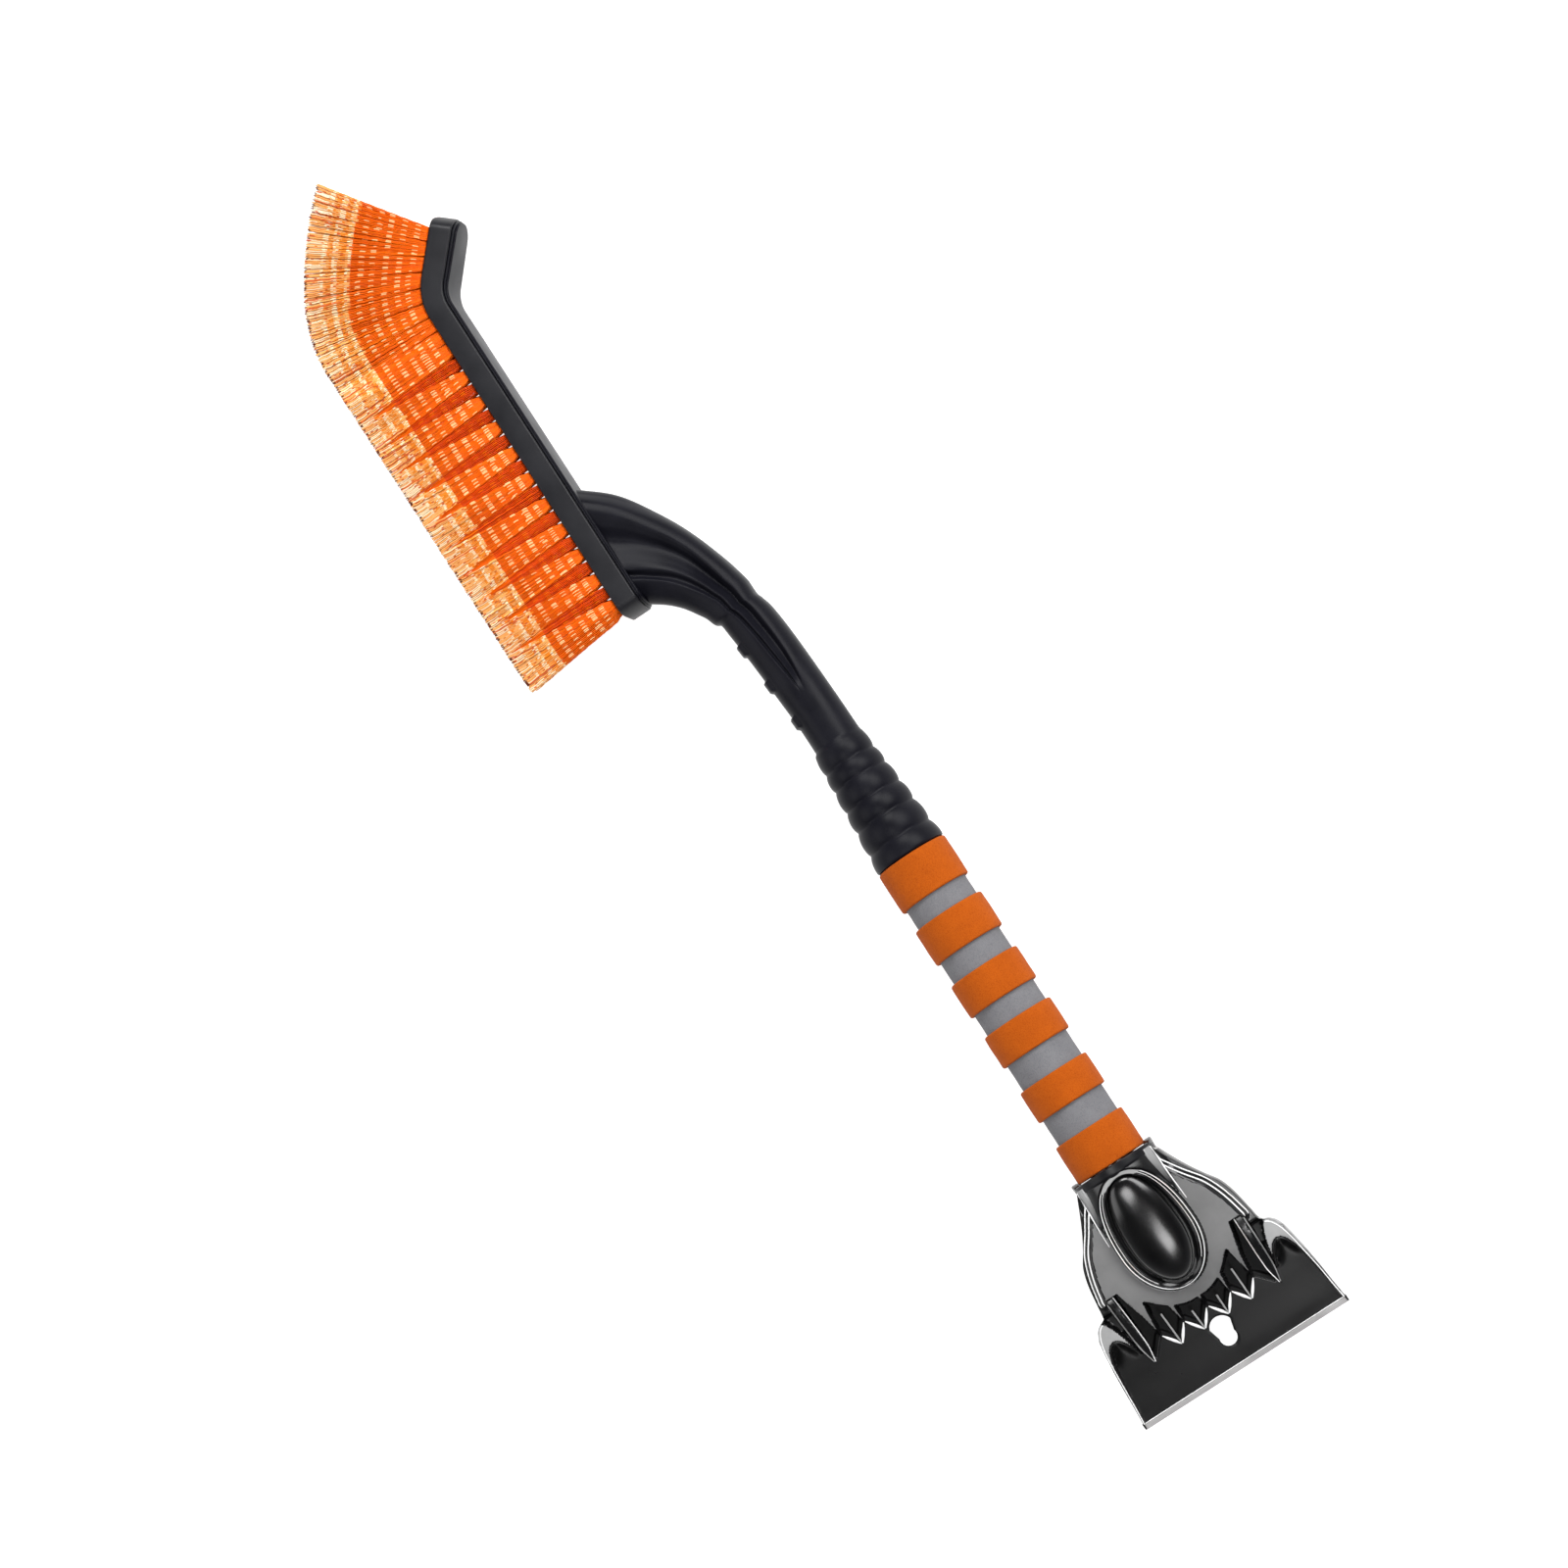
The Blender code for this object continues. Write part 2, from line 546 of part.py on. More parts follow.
def screw(name, foot, head, head_r, head_t, shank_r, surface, frame, sunk=False):
    """A plain screw: shank from foot up to the underside of the head, which ends at head. A sunk head is a cone."""
    foot, head = Vector(foot), Vector(head)
    along = (head - foot).normalized()
    turn = along.to_track_quat("X", "Z").to_matrix().to_4x4()
    reach = (head - foot).length
    if sunk:
        top = [(reach - 0.15, head_r), (reach, head_r), (reach, 0)]
    else:
        top = [(reach - head_t, head_r), (reach - 0.5, head_r), (reach, head_r - 0.8), (reach, 0)]
    profile = [(0, 0), (0, shank_r), (reach - head_t, shank_r)] + top
    bm = bmesh.new()
    corners = [bm.verts.new((x, 0, r)) for x, r in profile]
    edges = [bm.edges.new((a, b)) for a, b in zip(corners, corners[1:])]
    bmesh.ops.spin(bm, geom=corners + edges, cent=(0, 0, 0), axis=(1, 0, 0), angle=math.tau, steps=20, use_merge=True)
    # A cross slot pressed into the head would be cut here; the slot is left to the fine surface.
    bmesh.ops.transform(bm, matrix=Matrix.Translation(foot) @ turn, verts=bm.verts)
    return finish(name, bm, surface, frame)


screw("spigot_screw", (295.0, 0, -8.4), (295.0, 0, -16.4), 3.2, 1.5, 1.6, SCREW_STEEL, twist_axis)

# ---------------------------------------------------------------- coupling
spigot = turned(
    "coupling_spigot",
    [(JOURNAL_X1 + GAP, 0.0), (JOURNAL_X1 + GAP, SPIGOT_R - 0.5), (JOURNAL_X1 + GAP + 0.5, SPIGOT_R), (SPIGOT_X1, SPIGOT_R), (SPIGOT_X1, 0.0)],
    SPIGOT_BLACK,
    twist_axis,
)
journal = rod("journal", (JOURNAL_X0, 0, JOURNAL_OFFSET), (JOURNAL_X1 + 4, 0, JOURNAL_OFFSET), JOURNAL_R, frame=twist_axis, steps=32, helper=True)
combine(spigot, "UNION", journal)
core_hole = rod("spigot_bore", (JOURNAL_X1 + 9, 0, 0), (SPIGOT_X1 + 5, 0, 0), SPIGOT_BORE_R, frame=twist_axis, steps=24, helper=True)
washer_hole = rod("washer_screw_hole", (JOURNAL_X0 - 5, 0, 0), (JOURNAL_X0 + 12, 0, 0), 1.8, frame=twist_axis, steps=16, helper=True)
spigot_screw_hole = rod("spigot_wall_hole", (295.0, 0, -20.0), (295.0, 0, -3.0), 1.9, frame=twist_axis, steps=16, helper=True)
combine(spigot, "DIFFERENCE", core_hole, washer_hole, spigot_screw_hole)

# Split lock collar: a ring with one slot along it
lock = turned(
    "lock_collar",
    [(JOURNAL_X0 + GAP, LOCK_BORE_R), (JOURNAL_X0 + GAP, LOCK_R - 0.6), (JOURNAL_X0 + GAP + 0.6, LOCK_R), (JOURNAL_X1 - GAP - 0.6, LOCK_R), (JOURNAL_X1 - GAP, LOCK_R - 0.6), (JOURNAL_X1 - GAP, LOCK_BORE_R)],
    NYLON,
    pull_axis,
)
slot = prism("lock_slot", [(JOURNAL_X0 - 2, 5.0), (JOURNAL_X1 + 2, 5.0), (JOURNAL_X1 + 2, 20.0), (JOURNAL_X0 - 2, 20.0)], -1.5, 1.5, frame=pull_axis)
combine(lock, "DIFFERENCE", slot)

washer = turned(
    "collar_washer",
    [(SPIGOT_X0, 2.0), (SPIGOT_X0, SPIGOT_R - 0.6), (SPIGOT_X0 + 0.6, SPIGOT_R), (JOURNAL_X0 - GAP, SPIGOT_R), (JOURNAL_X0 - GAP, 2.0)],
    SPIGOT_BLACK,
    twist_axis,
)
screw("washer_screw", (JOURNAL_X0 + 10.0, 0, 0), (SPIGOT_X0 - 1.9, 0, 0), 3.4, 1.6, 1.5, SCREW_STEEL, twist_axis)

# ---------------------------------------------------------------- brush head
block = head_slab("bristle_block", BLOCK_HALF, SEAM_Y - FACE_Y, 0.0, 0.0, BLOCK_BLACK, tip_half=BLOCK_TIP_HALF)
for index, x in enumerate(SCREW_X, 1):
    bore = rod(f"block_screw_hole_{index}", (x, BACK_Y - 5, 0), (x, SEAM_Y + 7.5, 0), 1.8, frame=twist_axis, steps=16, helper=True)
    sink = rod(f"block_screw_seat_{index}", (x, BACK_Y - 0.65, 0), (x, SEAM_Y - GAP, 0), 4.37, frame=twist_axis, steps=28, helper=True, end_radius=1.95)
    combine(arm, "DIFFERENCE", bore, sink)
    combine(block, "DIFFERENCE", bore)
    screw(f"block_screw_{index}", (x, SEAM_Y + 7.0, 0), (x, BACK_Y + 0.05, 0), 3.2, 1.45, 1.5, SCREW_BLACK, twist_axis, sunk=True)


ROOT_S0, ROOT_S1 = 4.8, HEAD_LENGTH - 5.4
FAN_S0, FAN_S1 = 16.0, 162.0  # between these the bristles stand straight


def bristle_lean(s):
    """Angle of the bristles from +Y towards +X at arc length s: fanned at both ends."""
    if s < FAN_S0:
        return -math.radians(5.0) * (1 - (s - ROOT_S0) / (FAN_S0 - ROOT_S0)) ** 1.5
    return math.radians(54.4) * (max(0.0, s - FAN_S1) / (ROOT_S1 - FAN_S1)) ** 1.15


def bristle_reach(s):
    return BRISTLE_LENGTH + 2.6 * max(0.0, s - FAN_S1) / (ROOT_S1 - FAN_S1)


for index, (root_z, tip_z) in enumerate(zip(ROW_ROOT_Z, ROW_TIP_Z), 1):
    rings = []
    steps = [ROOT_S0 + (FAN_S0 - ROOT_S0) * i / 4 for i in range(5)] + [60.0, 110.0]
    steps += [FAN_S1 + (ROOT_S1 - FAN_S1) * i / 9 for i in range(10)]
    for s in steps:
        root, _ = head_point(s, GAP)
        lean = bristle_lean(s)
        tip = root + Vector((math.sin(lean), math.cos(lean), 0.0)) * (bristle_reach(s) - GAP)
        rings.append(
            [
                root + Vector((0, 0, root_z - ROW_ROOT_HALF)),
                tip + Vector((0, 0, tip_z - ROW_TIP_HALF)),
                tip + Vector((0, 0, tip_z + ROW_TIP_HALF)),
                root + Vector((0, 0, root_z + ROW_ROOT_HALF)),
            ]
        )
    loft(f"bristle_row_{index}", rings, BRISTLE_ORANGE, twist_axis)
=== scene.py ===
import math

import bmesh
import bpy
import numpy as np
from mathutils import Matrix, Vector


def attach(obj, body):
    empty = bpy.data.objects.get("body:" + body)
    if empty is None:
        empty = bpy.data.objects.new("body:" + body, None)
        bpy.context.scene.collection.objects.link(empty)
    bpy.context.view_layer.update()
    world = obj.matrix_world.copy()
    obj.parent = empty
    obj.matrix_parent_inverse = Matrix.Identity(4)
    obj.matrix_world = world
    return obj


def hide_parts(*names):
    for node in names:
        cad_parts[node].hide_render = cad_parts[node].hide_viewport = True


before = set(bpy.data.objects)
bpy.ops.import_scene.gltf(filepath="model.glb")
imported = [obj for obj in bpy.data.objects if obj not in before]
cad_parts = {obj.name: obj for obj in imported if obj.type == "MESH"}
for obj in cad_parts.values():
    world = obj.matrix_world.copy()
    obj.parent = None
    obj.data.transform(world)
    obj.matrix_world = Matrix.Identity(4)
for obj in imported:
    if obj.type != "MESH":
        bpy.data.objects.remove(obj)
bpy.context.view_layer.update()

# Everything is worked out in tool millimetres: X from scraper to brush along the handle, Y to the bristle tips,
# Z up, handle axis Y = Z = 0. ORIGIN is the row frame's origin in tool millimetres.
MM = 0.001
ORIGIN = np.array((347.336, 25.061, -20.0))


def row(points):
    return (np.asarray(points, float).reshape(-1, 3) - ORIGIN) * MM


# ================================================================ mesh helpers
def mesh_object(name, points, groups, materials, smooth=True, sharp=None, outward=True):
    """groups is a list of (faces array, material index or array)."""
    mesh = bpy.data.meshes.new(name)
    co = row(points).astype(np.float32)
    mesh.vertices.add(len(co))
    mesh.vertices.foreach_set("co", co.ravel())
    loops, starts, mats, at = [], [], [], 0
    for faces, mat in groups:
        faces = np.asarray(faces, np.int32)
        if len(faces) == 0:
            continue
        n, k = faces.shape
        loops.append(faces.ravel())
        starts.append(at + np.arange(n, dtype=np.int32) * k)
        at += n * k
        mats.append(np.full(n, mat, np.int32) if np.isscalar(mat) else np.asarray(mat, np.int32))
    loops, starts, mats = np.concatenate(loops), np.concatenate(starts), np.concatenate(mats)
    mesh.loops.add(len(loops))
    mesh.loops.foreach_set("vertex_index", loops)
    mesh.polygons.add(len(starts))
    mesh.polygons.foreach_set("loop_start", starts)
    for m in materials:
        mesh.materials.append(m)
    mesh.polygons.foreach_set("material_index", mats)
    mesh.update(calc_edges=True)
    mesh.validate()
    if outward:
        bm = bmesh.new()
        bm.from_mesh(mesh)
        bmesh.ops.recalc_face_normals(bm, faces=bm.faces)
        bm.to_mesh(mesh)
        bm.free()
    if smooth:
        mesh.shade_smooth()
        if sharp:
            mesh.set_sharp_from_angle(angle=math.radians(sharp))
    made = bpy.data.objects.new(name, mesh)
    bpy.context.scene.collection.objects.link(made)
    return made


def grid_faces(rows, cols, wrap=False, offset=0):
    """Quads of a rows x cols lattice of points; wrap closes each row on itself."""
    i = np.arange(rows - 1)[:, None]
    j = np.arange(cols if wrap else cols - 1)[None, :]
    k = (j + 1) % cols
    a = i * cols + j
    b = i * cols + k
    c = (i + 1) * cols + k
    d = (i + 1) * cols + j
    return np.stack([a, b, c, d], -1).reshape(-1, 4) + offset


def fan(ring, centre, flip=False):
    ring = np.asarray(ring)
    nxt = np.roll(ring, -1)
    c = np.full(len(ring), centre)
    return np.stack([ring, nxt, c] if not flip else [nxt, ring, c], -1)


def skin(name, rings, materials, material=0, sharp=None, extra=None):
    """A tube of equal rings, closed at both ends by a fan."""
    rings = np.asarray(rings, float)
    r, c, _ = rings.shape
    points = rings.reshape(-1, 3)
    points = np.vstack([points, rings[0].mean(0), rings[-1].mean(0)])
    quads = grid_faces(r, c, True)
    tris = np.vstack([fan(np.arange(c), r * c, True), fan(np.arange((r - 1) * c, r * c), r * c + 1)])
    groups = [(quads[:, ::-1], material), (tris[:, ::-1], material)]
    return mesh_object(name, points, groups, materials, sharp=sharp)


def lathe(profile, steps=96, axis_y=0.0, axis_z=0.0, flat_z=1.0):
    """Points and quads of a closed (x, r) profile spun round X."""
    profile = np.asarray(profile, float)
    a = np.arange(steps) * math.tau / steps
    x = np.repeat(profile[:, 0], steps)
    r = np.repeat(profile[:, 1], steps)
    ang = np.tile(a, len(profile))
    pts = np.stack([x, axis_y + r * np.cos(ang), axis_z + r * np.sin(ang) * flat_z], -1)
    closed = np.vstack([grid_faces(len(profile), steps, True)])
    last = (len(profile) - 1) * steps
    j = np.arange(steps)
    k = (j + 1) % steps
    seam = np.stack([last + j, last + k, k, j], -1)
    return pts, np.vstack([closed, seam])


def rounded(points, radii, count=5):
    """A closed polyline with its corners rounded by the given radii."""
    points = [np.asarray(p, float) for p in points]
    out = []
    n = len(points)
    for i, (p, r) in enumerate(zip(points, radii)):
        a, b = points[i - 1] - p, points[(i + 1) % n] - p
        la, lb = np.linalg.norm(a), np.linalg.norm(b)
        if r <= 0 or la < 1e-9 or lb < 1e-9:
            out.append(p)
            continue
        a, b = a / la, b / lb
        half = math.acos(max(-1, min(1, float(a @ b)))) / 2
        cut = min(r / math.tan(half), la * 0.49, lb * 0.49)
        r = cut * math.tan(half)
        centre = p + (a + b) / np.linalg.norm(a + b) * (r / math.sin(half))
        s, e = p + a * cut, p + b * cut
        a0 = math.atan2(*(s - centre)[::-1])
        a1 = math.atan2(*(e - centre)[::-1])
        d = (a1 - a0 + math.pi) % math.tau - math.pi
        for q in range(count + 1):
            t = a0 + d * q / count
            out.append(centre + r * np.array((math.cos(t), math.sin(t))))
    return np.array(out)


def dense(profile, step, closed=True):
    """The same polyline with no span longer than step."""
    out = []
    n = len(profile)
    for i in range(n if closed else n - 1):
        a, b = profile[i], profile[(i + 1) % n]
        k = max(1, int(math.ceil(np.linalg.norm(b - a) / step)))
        out += [a + (b - a) * q / k for q in range(k)]
    if not closed:
        out.append(profile[-1])
    return np.array(out)


def pchip(xs, ys, x):
    """Monotone cubic through the given points."""
    xs, ys, x = np.asarray(xs, float), np.asarray(ys, float), np.asarray(x, float)
    h = np.diff(xs)
    d = np.diff(ys) / h
    m = np.zeros(len(xs))
    for i in range(1, len(xs) - 1):
        if d[i - 1] * d[i] > 0:
            w1, w2 = 2 * h[i] + h[i - 1], h[i] + 2 * h[i - 1]
            m[i] = (w1 + w2) / (w1 / d[i - 1] + w2 / d[i])
    m[0], m[-1] = d[0], d[-1]
    i = np.clip(np.searchsorted(xs, x) - 1, 0, len(xs) - 2)
    t = (x - xs[i]) / h[i]
    t = np.clip(t, 0, 1)
    return (
        ys[i] * (2 * t**3 - 3 * t**2 + 1)
        + h[i] * m[i] * (t**3 - 2 * t**2 + t)
        + ys[i + 1] * (-2 * t**3 + 3 * t**2)
        + h[i] * m[i + 1] * (t**3 - t**2)
    )


def ease(t):
    t = np.clip(t, 0, 1)
    return t * t * (3 - 2 * t)


def put(obj, body, nodes):
    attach(obj, body)
    if nodes:
        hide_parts(*nodes)
    return obj


# ================================================================ materials
def new_material(name):
    made = bpy.data.materials.new(name)
    made.use_nodes = True
    nt = made.node_tree
    return made, nt, nt.nodes["Principled BSDF"]


def node(nt, kind, **values):
    made = nt.nodes.new(kind)
    for key, value in values.items():
        if hasattr(made, key):
            setattr(made, key, value)
        else:
            made.inputs[key.replace("_", " ")].default_value = value
    return made


def noise(nt, scale, detail=3.0, rough=0.55, stretch=None):
    coord = nt.nodes.new("ShaderNodeTexCoord")
    made = nt.nodes.new("ShaderNodeTexNoise")
    made.inputs["Scale"].default_value = scale
    made.inputs["Detail"].default_value = detail
    made.inputs["Roughness"].default_value = rough
    if stretch:
        mapping = nt.nodes.new("ShaderNodeMapping")
        mapping.inputs["Scale"].default_value = stretch
        nt.links.new(coord.outputs["Object"], mapping.inputs["Vector"])
        nt.links.new(mapping.outputs["Vector"], made.inputs["Vector"])
    else:
        nt.links.new(coord.outputs["Object"], made.inputs["Vector"])
    return made


def ramp(nt, source, low, high, a=0.35, b=0.65):
    made = nt.nodes.new("ShaderNodeValToRGB")
    made.color_ramp.elements[0].position = a
    made.color_ramp.elements[1].position = b
    made.color_ramp.elements[0].color = (*low, 1.0)
    made.color_ramp.elements[1].color = (*high, 1.0)
    nt.links.new(source, made.inputs["Fac"])
    return made


def span(nt, source, low, high, a=0.3, b=0.7):
    made = nt.nodes.new("ShaderNodeMapRange")
    made.inputs["From Min"].default_value = a
    made.inputs["From Max"].default_value = b
    made.inputs["To Min"].default_value = low
    made.inputs["To Max"].default_value = high
    nt.links.new(source, made.inputs["Value"])
    return made


def bump(nt, shader, source, strength, distance):
    made = nt.nodes.new("ShaderNodeBump")
    made.inputs["Strength"].default_value = strength
    made.inputs["Distance"].default_value = distance
    nt.links.new(source, made.inputs["Height"])
    nt.links.new(made.outputs["Normal"], shader.inputs["Normal"])
    return made


def plastic(name, low, high, rough, grain, depth, colour_scale=60.0, spec=0.5, coat=0.0, stretch=None):
    """Moulded plastic: a faint colour drift, uneven gloss and a fine moulded grain."""
    made, nt, shader = new_material(name)
    drift = noise(nt, colour_scale, 4.0)
    nt.links.new(ramp(nt, drift.outputs["Fac"], low, high).outputs["Color"], shader.inputs["Base Color"])
    fine = noise(nt, grain, 2.0, stretch=stretch)
    nt.links.new(span(nt, drift.outputs["Fac"], rough[0], rough[1]).outputs["Result"], shader.inputs["Roughness"])
    if depth:
        bump(nt, shader, fine.outputs["Fac"], 1.0, depth)
    shader.inputs["Specular IOR Level"].default_value = spec
    shader.inputs["Coat Weight"].default_value = coat
    shader.inputs["Coat Roughness"].default_value = 0.08
    return made


def foam(name, low, high, pit_shade, cell=2600.0):
    """Closed-cell foam: fine pores whose pits are darkened with painted shade, soft sheen."""
    made, nt, shader = new_material(name)
    drift = noise(nt, 90.0, 5.0, 0.65)
    cells = noise(nt, cell, 3.0, 0.7, stretch=(0.55, 1.0, 1.0))
    mix = nt.nodes.new("ShaderNodeMix")
    mix.data_type = "RGBA"
    mix.blend_type = "MULTIPLY"
    mix.inputs[0].default_value = 1.0
    nt.links.new(ramp(nt, drift.outputs["Fac"], low, high, 0.3, 0.7).outputs["Color"], mix.inputs[6])
    # the pore ramp multiplies painted shade into the low pits of the bump
    nt.links.new(ramp(nt, cells.outputs["Fac"], pit_shade, (1.0, 1.0, 1.0), 0.33, 0.52).outputs["Color"], mix.inputs[7])
    nt.links.new(mix.outputs[2], shader.inputs["Base Color"])
    nt.links.new(span(nt, cells.outputs["Fac"], 0.95, 0.78).outputs["Result"], shader.inputs["Roughness"])
    bump(nt, shader, cells.outputs["Fac"], 0.7, 0.00025)
    shader.inputs["Specular IOR Level"].default_value = 0.12
    shader.inputs["Sheen Weight"].default_value = 0.02
    shader.inputs["Sheen Roughness"].default_value = 0.5
    return made


def metal(name, tone, rough, stretch, scale=400.0):
    made, nt, shader = new_material(name)
    grain = noise(nt, scale, 4.0, stretch=stretch)
    low = tuple(c * 0.82 for c in tone)
    nt.links.new(ramp(nt, grain.outputs["Fac"], low, tone).outputs["Color"], shader.inputs["Base Color"])
    nt.links.new(span(nt, grain.outputs["Fac"], rough[0], rough[1]).outputs["Result"], shader.inputs["Roughness"])
    bump(nt, shader, grain.outputs["Fac"], 0.4, 0.00002)
    shader.inputs["Metallic"].default_value = 1.0
    return made


def filament(name, colour, rough=0.38, spec=0.25):
    """Extruded nylon: one colour per zone, mostly dyes, some of them painted glints and painted shade; the gloss varies
    along the hair.
    """
    made, nt, shader = new_material(name)
    shader.inputs["Base Color"].default_value = (*colour, 1.0)
    grain = noise(nt, 900.0, 2.0)
    nt.links.new(span(nt, grain.outputs["Fac"], rough - 0.1, rough + 0.15).outputs["Result"], shader.inputs["Roughness"])
    shader.inputs["Specular IOR Level"].default_value = spec
    return made


ORANGE_FOAM = foam("orange_foam_look", (0.355, 0.066, 0.0016), (0.41, 0.079, 0.0021), (0.72, 0.63, 0.56))
GREY_FOAM = foam("grey_foam_look", (0.148, 0.148, 0.157), (0.176, 0.176, 0.186), (0.74, 0.74, 0.74))
MATT = plastic("matt_black_look", (0.0042, 0.0042, 0.0068), (0.0064, 0.0064, 0.0098), (0.36, 0.44), 1800.0, 0.00002, spec=0.095)
BLOCK = plastic("block_black_look", (0.0055, 0.0055, 0.0075), (0.0080, 0.0080, 0.0105), (0.38, 0.48), 1600.0, 0.00002, spec=0.25)
GLOSS = plastic("gloss_black_look", (0.0035, 0.0035, 0.0038), (0.0055, 0.0055, 0.0058), (0.15, 0.22), 900.0, 0.0, spec=0.5)
# the deck's grey base colour is a painted reflection on black plastic
SATIN_DECK_PAINTED_REFLECTION = plastic("satin_deck_painted_reflection", (0.13, 0.13, 0.13), (0.165, 0.165, 0.165), (0.42, 0.52), 1500.0, 0.00001, spec=0.3)
BLADE = plastic("blade_black_look", (0.0034, 0.0034, 0.0036), (0.0050, 0.0050, 0.0052), (0.27, 0.34), 1200.0, 0.0, spec=0.17)
# light grey of the ear crescents, the rim's top end, the pocket spines and a fin edge: a painted reflection on black
# plastic
EAR_PAINTED_REFLECTION = plastic("ear_painted_reflection", (0.26, 0.26, 0.26), (0.33, 0.33, 0.33), (0.36, 0.46), 1500.0, 0.00001, spec=0.4)
DOME = plastic("dome_black_look", (0.0025, 0.0025, 0.0027), (0.0035, 0.0035, 0.0037), (0.17, 0.22), 700.0, 0.0, spec=0.6)
EDGE = plastic("edge_grey_look", (0.34, 0.33, 0.33), (0.43, 0.42, 0.42), (0.30, 0.42), 1400.0, 0.00001, stretch=(1.0, 0.15, 1.0))
# near-white lines along crests and edges of the black scraper: painted highlights
LINE_PAINTED_HIGHLIGHT = plastic("edge_painted_highlight", (0.78, 0.78, 0.78), (0.88, 0.88, 0.88), (0.25, 0.38), 1400.0, 0.00001)
# shoulder colour: black that turns grey towards the collar, a painted highlight on glossy black plastic
SHOULDER_PAINTED_HIGHLIGHT, shoulder_tree, shoulder_shader = new_material("shoulder_painted_highlight")
where = shoulder_tree.nodes.new("ShaderNodeTexCoord")
apart = shoulder_tree.nodes.new("ShaderNodeSeparateXYZ")
shoulder_tree.links.new(where.outputs["Object"], apart.inputs["Vector"])
reach_x = span(shoulder_tree, apart.outputs["X"], 0.0, 1.0, -0.2570, -0.2410)
shoulder_tree.links.new(ramp(shoulder_tree, reach_x.outputs["Result"], (0.005, 0.005, 0.0055), (0.24, 0.24, 0.24), 0.05, 0.95).outputs["Color"], shoulder_shader.inputs["Base Color"])
uneven = noise(shoulder_tree, 80.0, 4.0)
shoulder_tree.links.new(span(shoulder_tree, uneven.outputs["Fac"], 0.16, 0.24).outputs["Result"], shoulder_shader.inputs["Roughness"])
# darker black for faces deep in the pockets: painted shade in the recesses, with a duller gloss
POCKET_PAINTED_SHADE = plastic("pocket_painted_shade", (0.0022, 0.0022, 0.0023), (0.0034, 0.0034, 0.0035), (0.42, 0.52), 1400.0, 0.0, spec=0.12)
COLLAR = plastic("collar_black_look", (0.0024, 0.0024, 0.0034), (0.0036, 0.0036, 0.0050), (0.28, 0.36), 1400.0, 0.0, spec=0.24)
TUBE = metal("tube_look", (0.74, 0.75, 0.77), (0.26, 0.42), (0.05, 1.0, 1.0))
STEEL = metal("screw_look", (0.58, 0.58, 0.60), (0.25, 0.45), (1.0, 1.0, 1.0), 900.0)
BLACK_STEEL = metal("black_screw_look", (0.05, 0.05, 0.053), (0.35, 0.5), (1.0, 1.0, 1.0), 900.0)
NYLON = plastic("nylon_look", (0.36, 0.345, 0.295), (0.42, 0.405, 0.350), (0.38, 0.5), 1200.0, 0.00001)
SPIGOT = plastic("spigot_look", (0.020, 0.020, 0.022), (0.028, 0.028, 0.031), (0.34, 0.44), 1500.0, 0.00001)

# ================================================================ handle
RNG = np.random.default_rng(7)


def foam_ring(name, x0, x1, bore, radius, corner, crown, material, node_name, body, seed):
    """A foam sleeve: rounded shoulders, a slight crown and a softly uneven skin."""
    outline = rounded([(x0, bore), (x0, radius), (x1, radius), (x1, bore)], [0.3, corner, corner, 0.3], 7)
    outline = dense(outline, 0.7)
    steps = 160
    pts, quads = lathe(outline, steps)
    x, y, z = pts.T
    r = np.hypot(y, z)
    a = np.arctan2(z, y)
    share = np.clip((r - bore) / (radius - bore), 0, 1) ** 2
    t = (x - x0) / (x1 - x0)
    swell = crown * (4 * t * (1 - t) - 1.0)
    rng = np.random.default_rng(seed)
    wave = np.zeros(len(r))
    for _ in range(7):
        k, m, p, q = rng.integers(1, 7), rng.uniform(0.1, 0.9), rng.uniform(0, math.tau), rng.uniform(0, math.tau)
        wave += np.sin(k * a + p) * np.sin(m * x + q)
    r = r + share * (swell + wave * 0.022)
    pts = np.stack([x, r * np.cos(a), r * np.sin(a)], -1)
    made = mesh_object(name, pts, [(quads, 0)], [material], sharp=50)
    put(made, body, [node_name])
    return made


foam_ring("sleeve_foam", 112.7, 279.0, 13.8, 15.7, 0.8, 0.0, GREY_FOAM, "foam_sleeve", "handle", 11)
BANDS = ((112.7, 132.2), (145.5, 161.5), (174.8, 191.2), (201.9, 218.9), (230.3, 248.4), (258.5, 279.0))
for index, (x0, x1) in enumerate(BANDS, 1):
    foam_ring(f"band_foam_{index}", x0, x1, 15.85, 17.75, 1.35, 0.12, ORANGE_FOAM, f"foam_band_{index}", "handle", 20 + index)


def turned(name, profile, radii, material, body, node_name, slot, steps=96, **kw):
    outline = rounded(profile, radii, 4)
    pts, quads = lathe(outline, steps, **kw)
    return put(mesh_object(name, pts, [(quads, 0)], [material], sharp=35), body, [node_name])


turned("tube_shell", [(112.6, 12.0), (112.6, 13.5), (279.0, 13.5), (279.0, 12.0)], [0.2, 0.35, 0.35, 0.2], TUBE, "handle", "handle_tube", "tube_aluminium", 128)

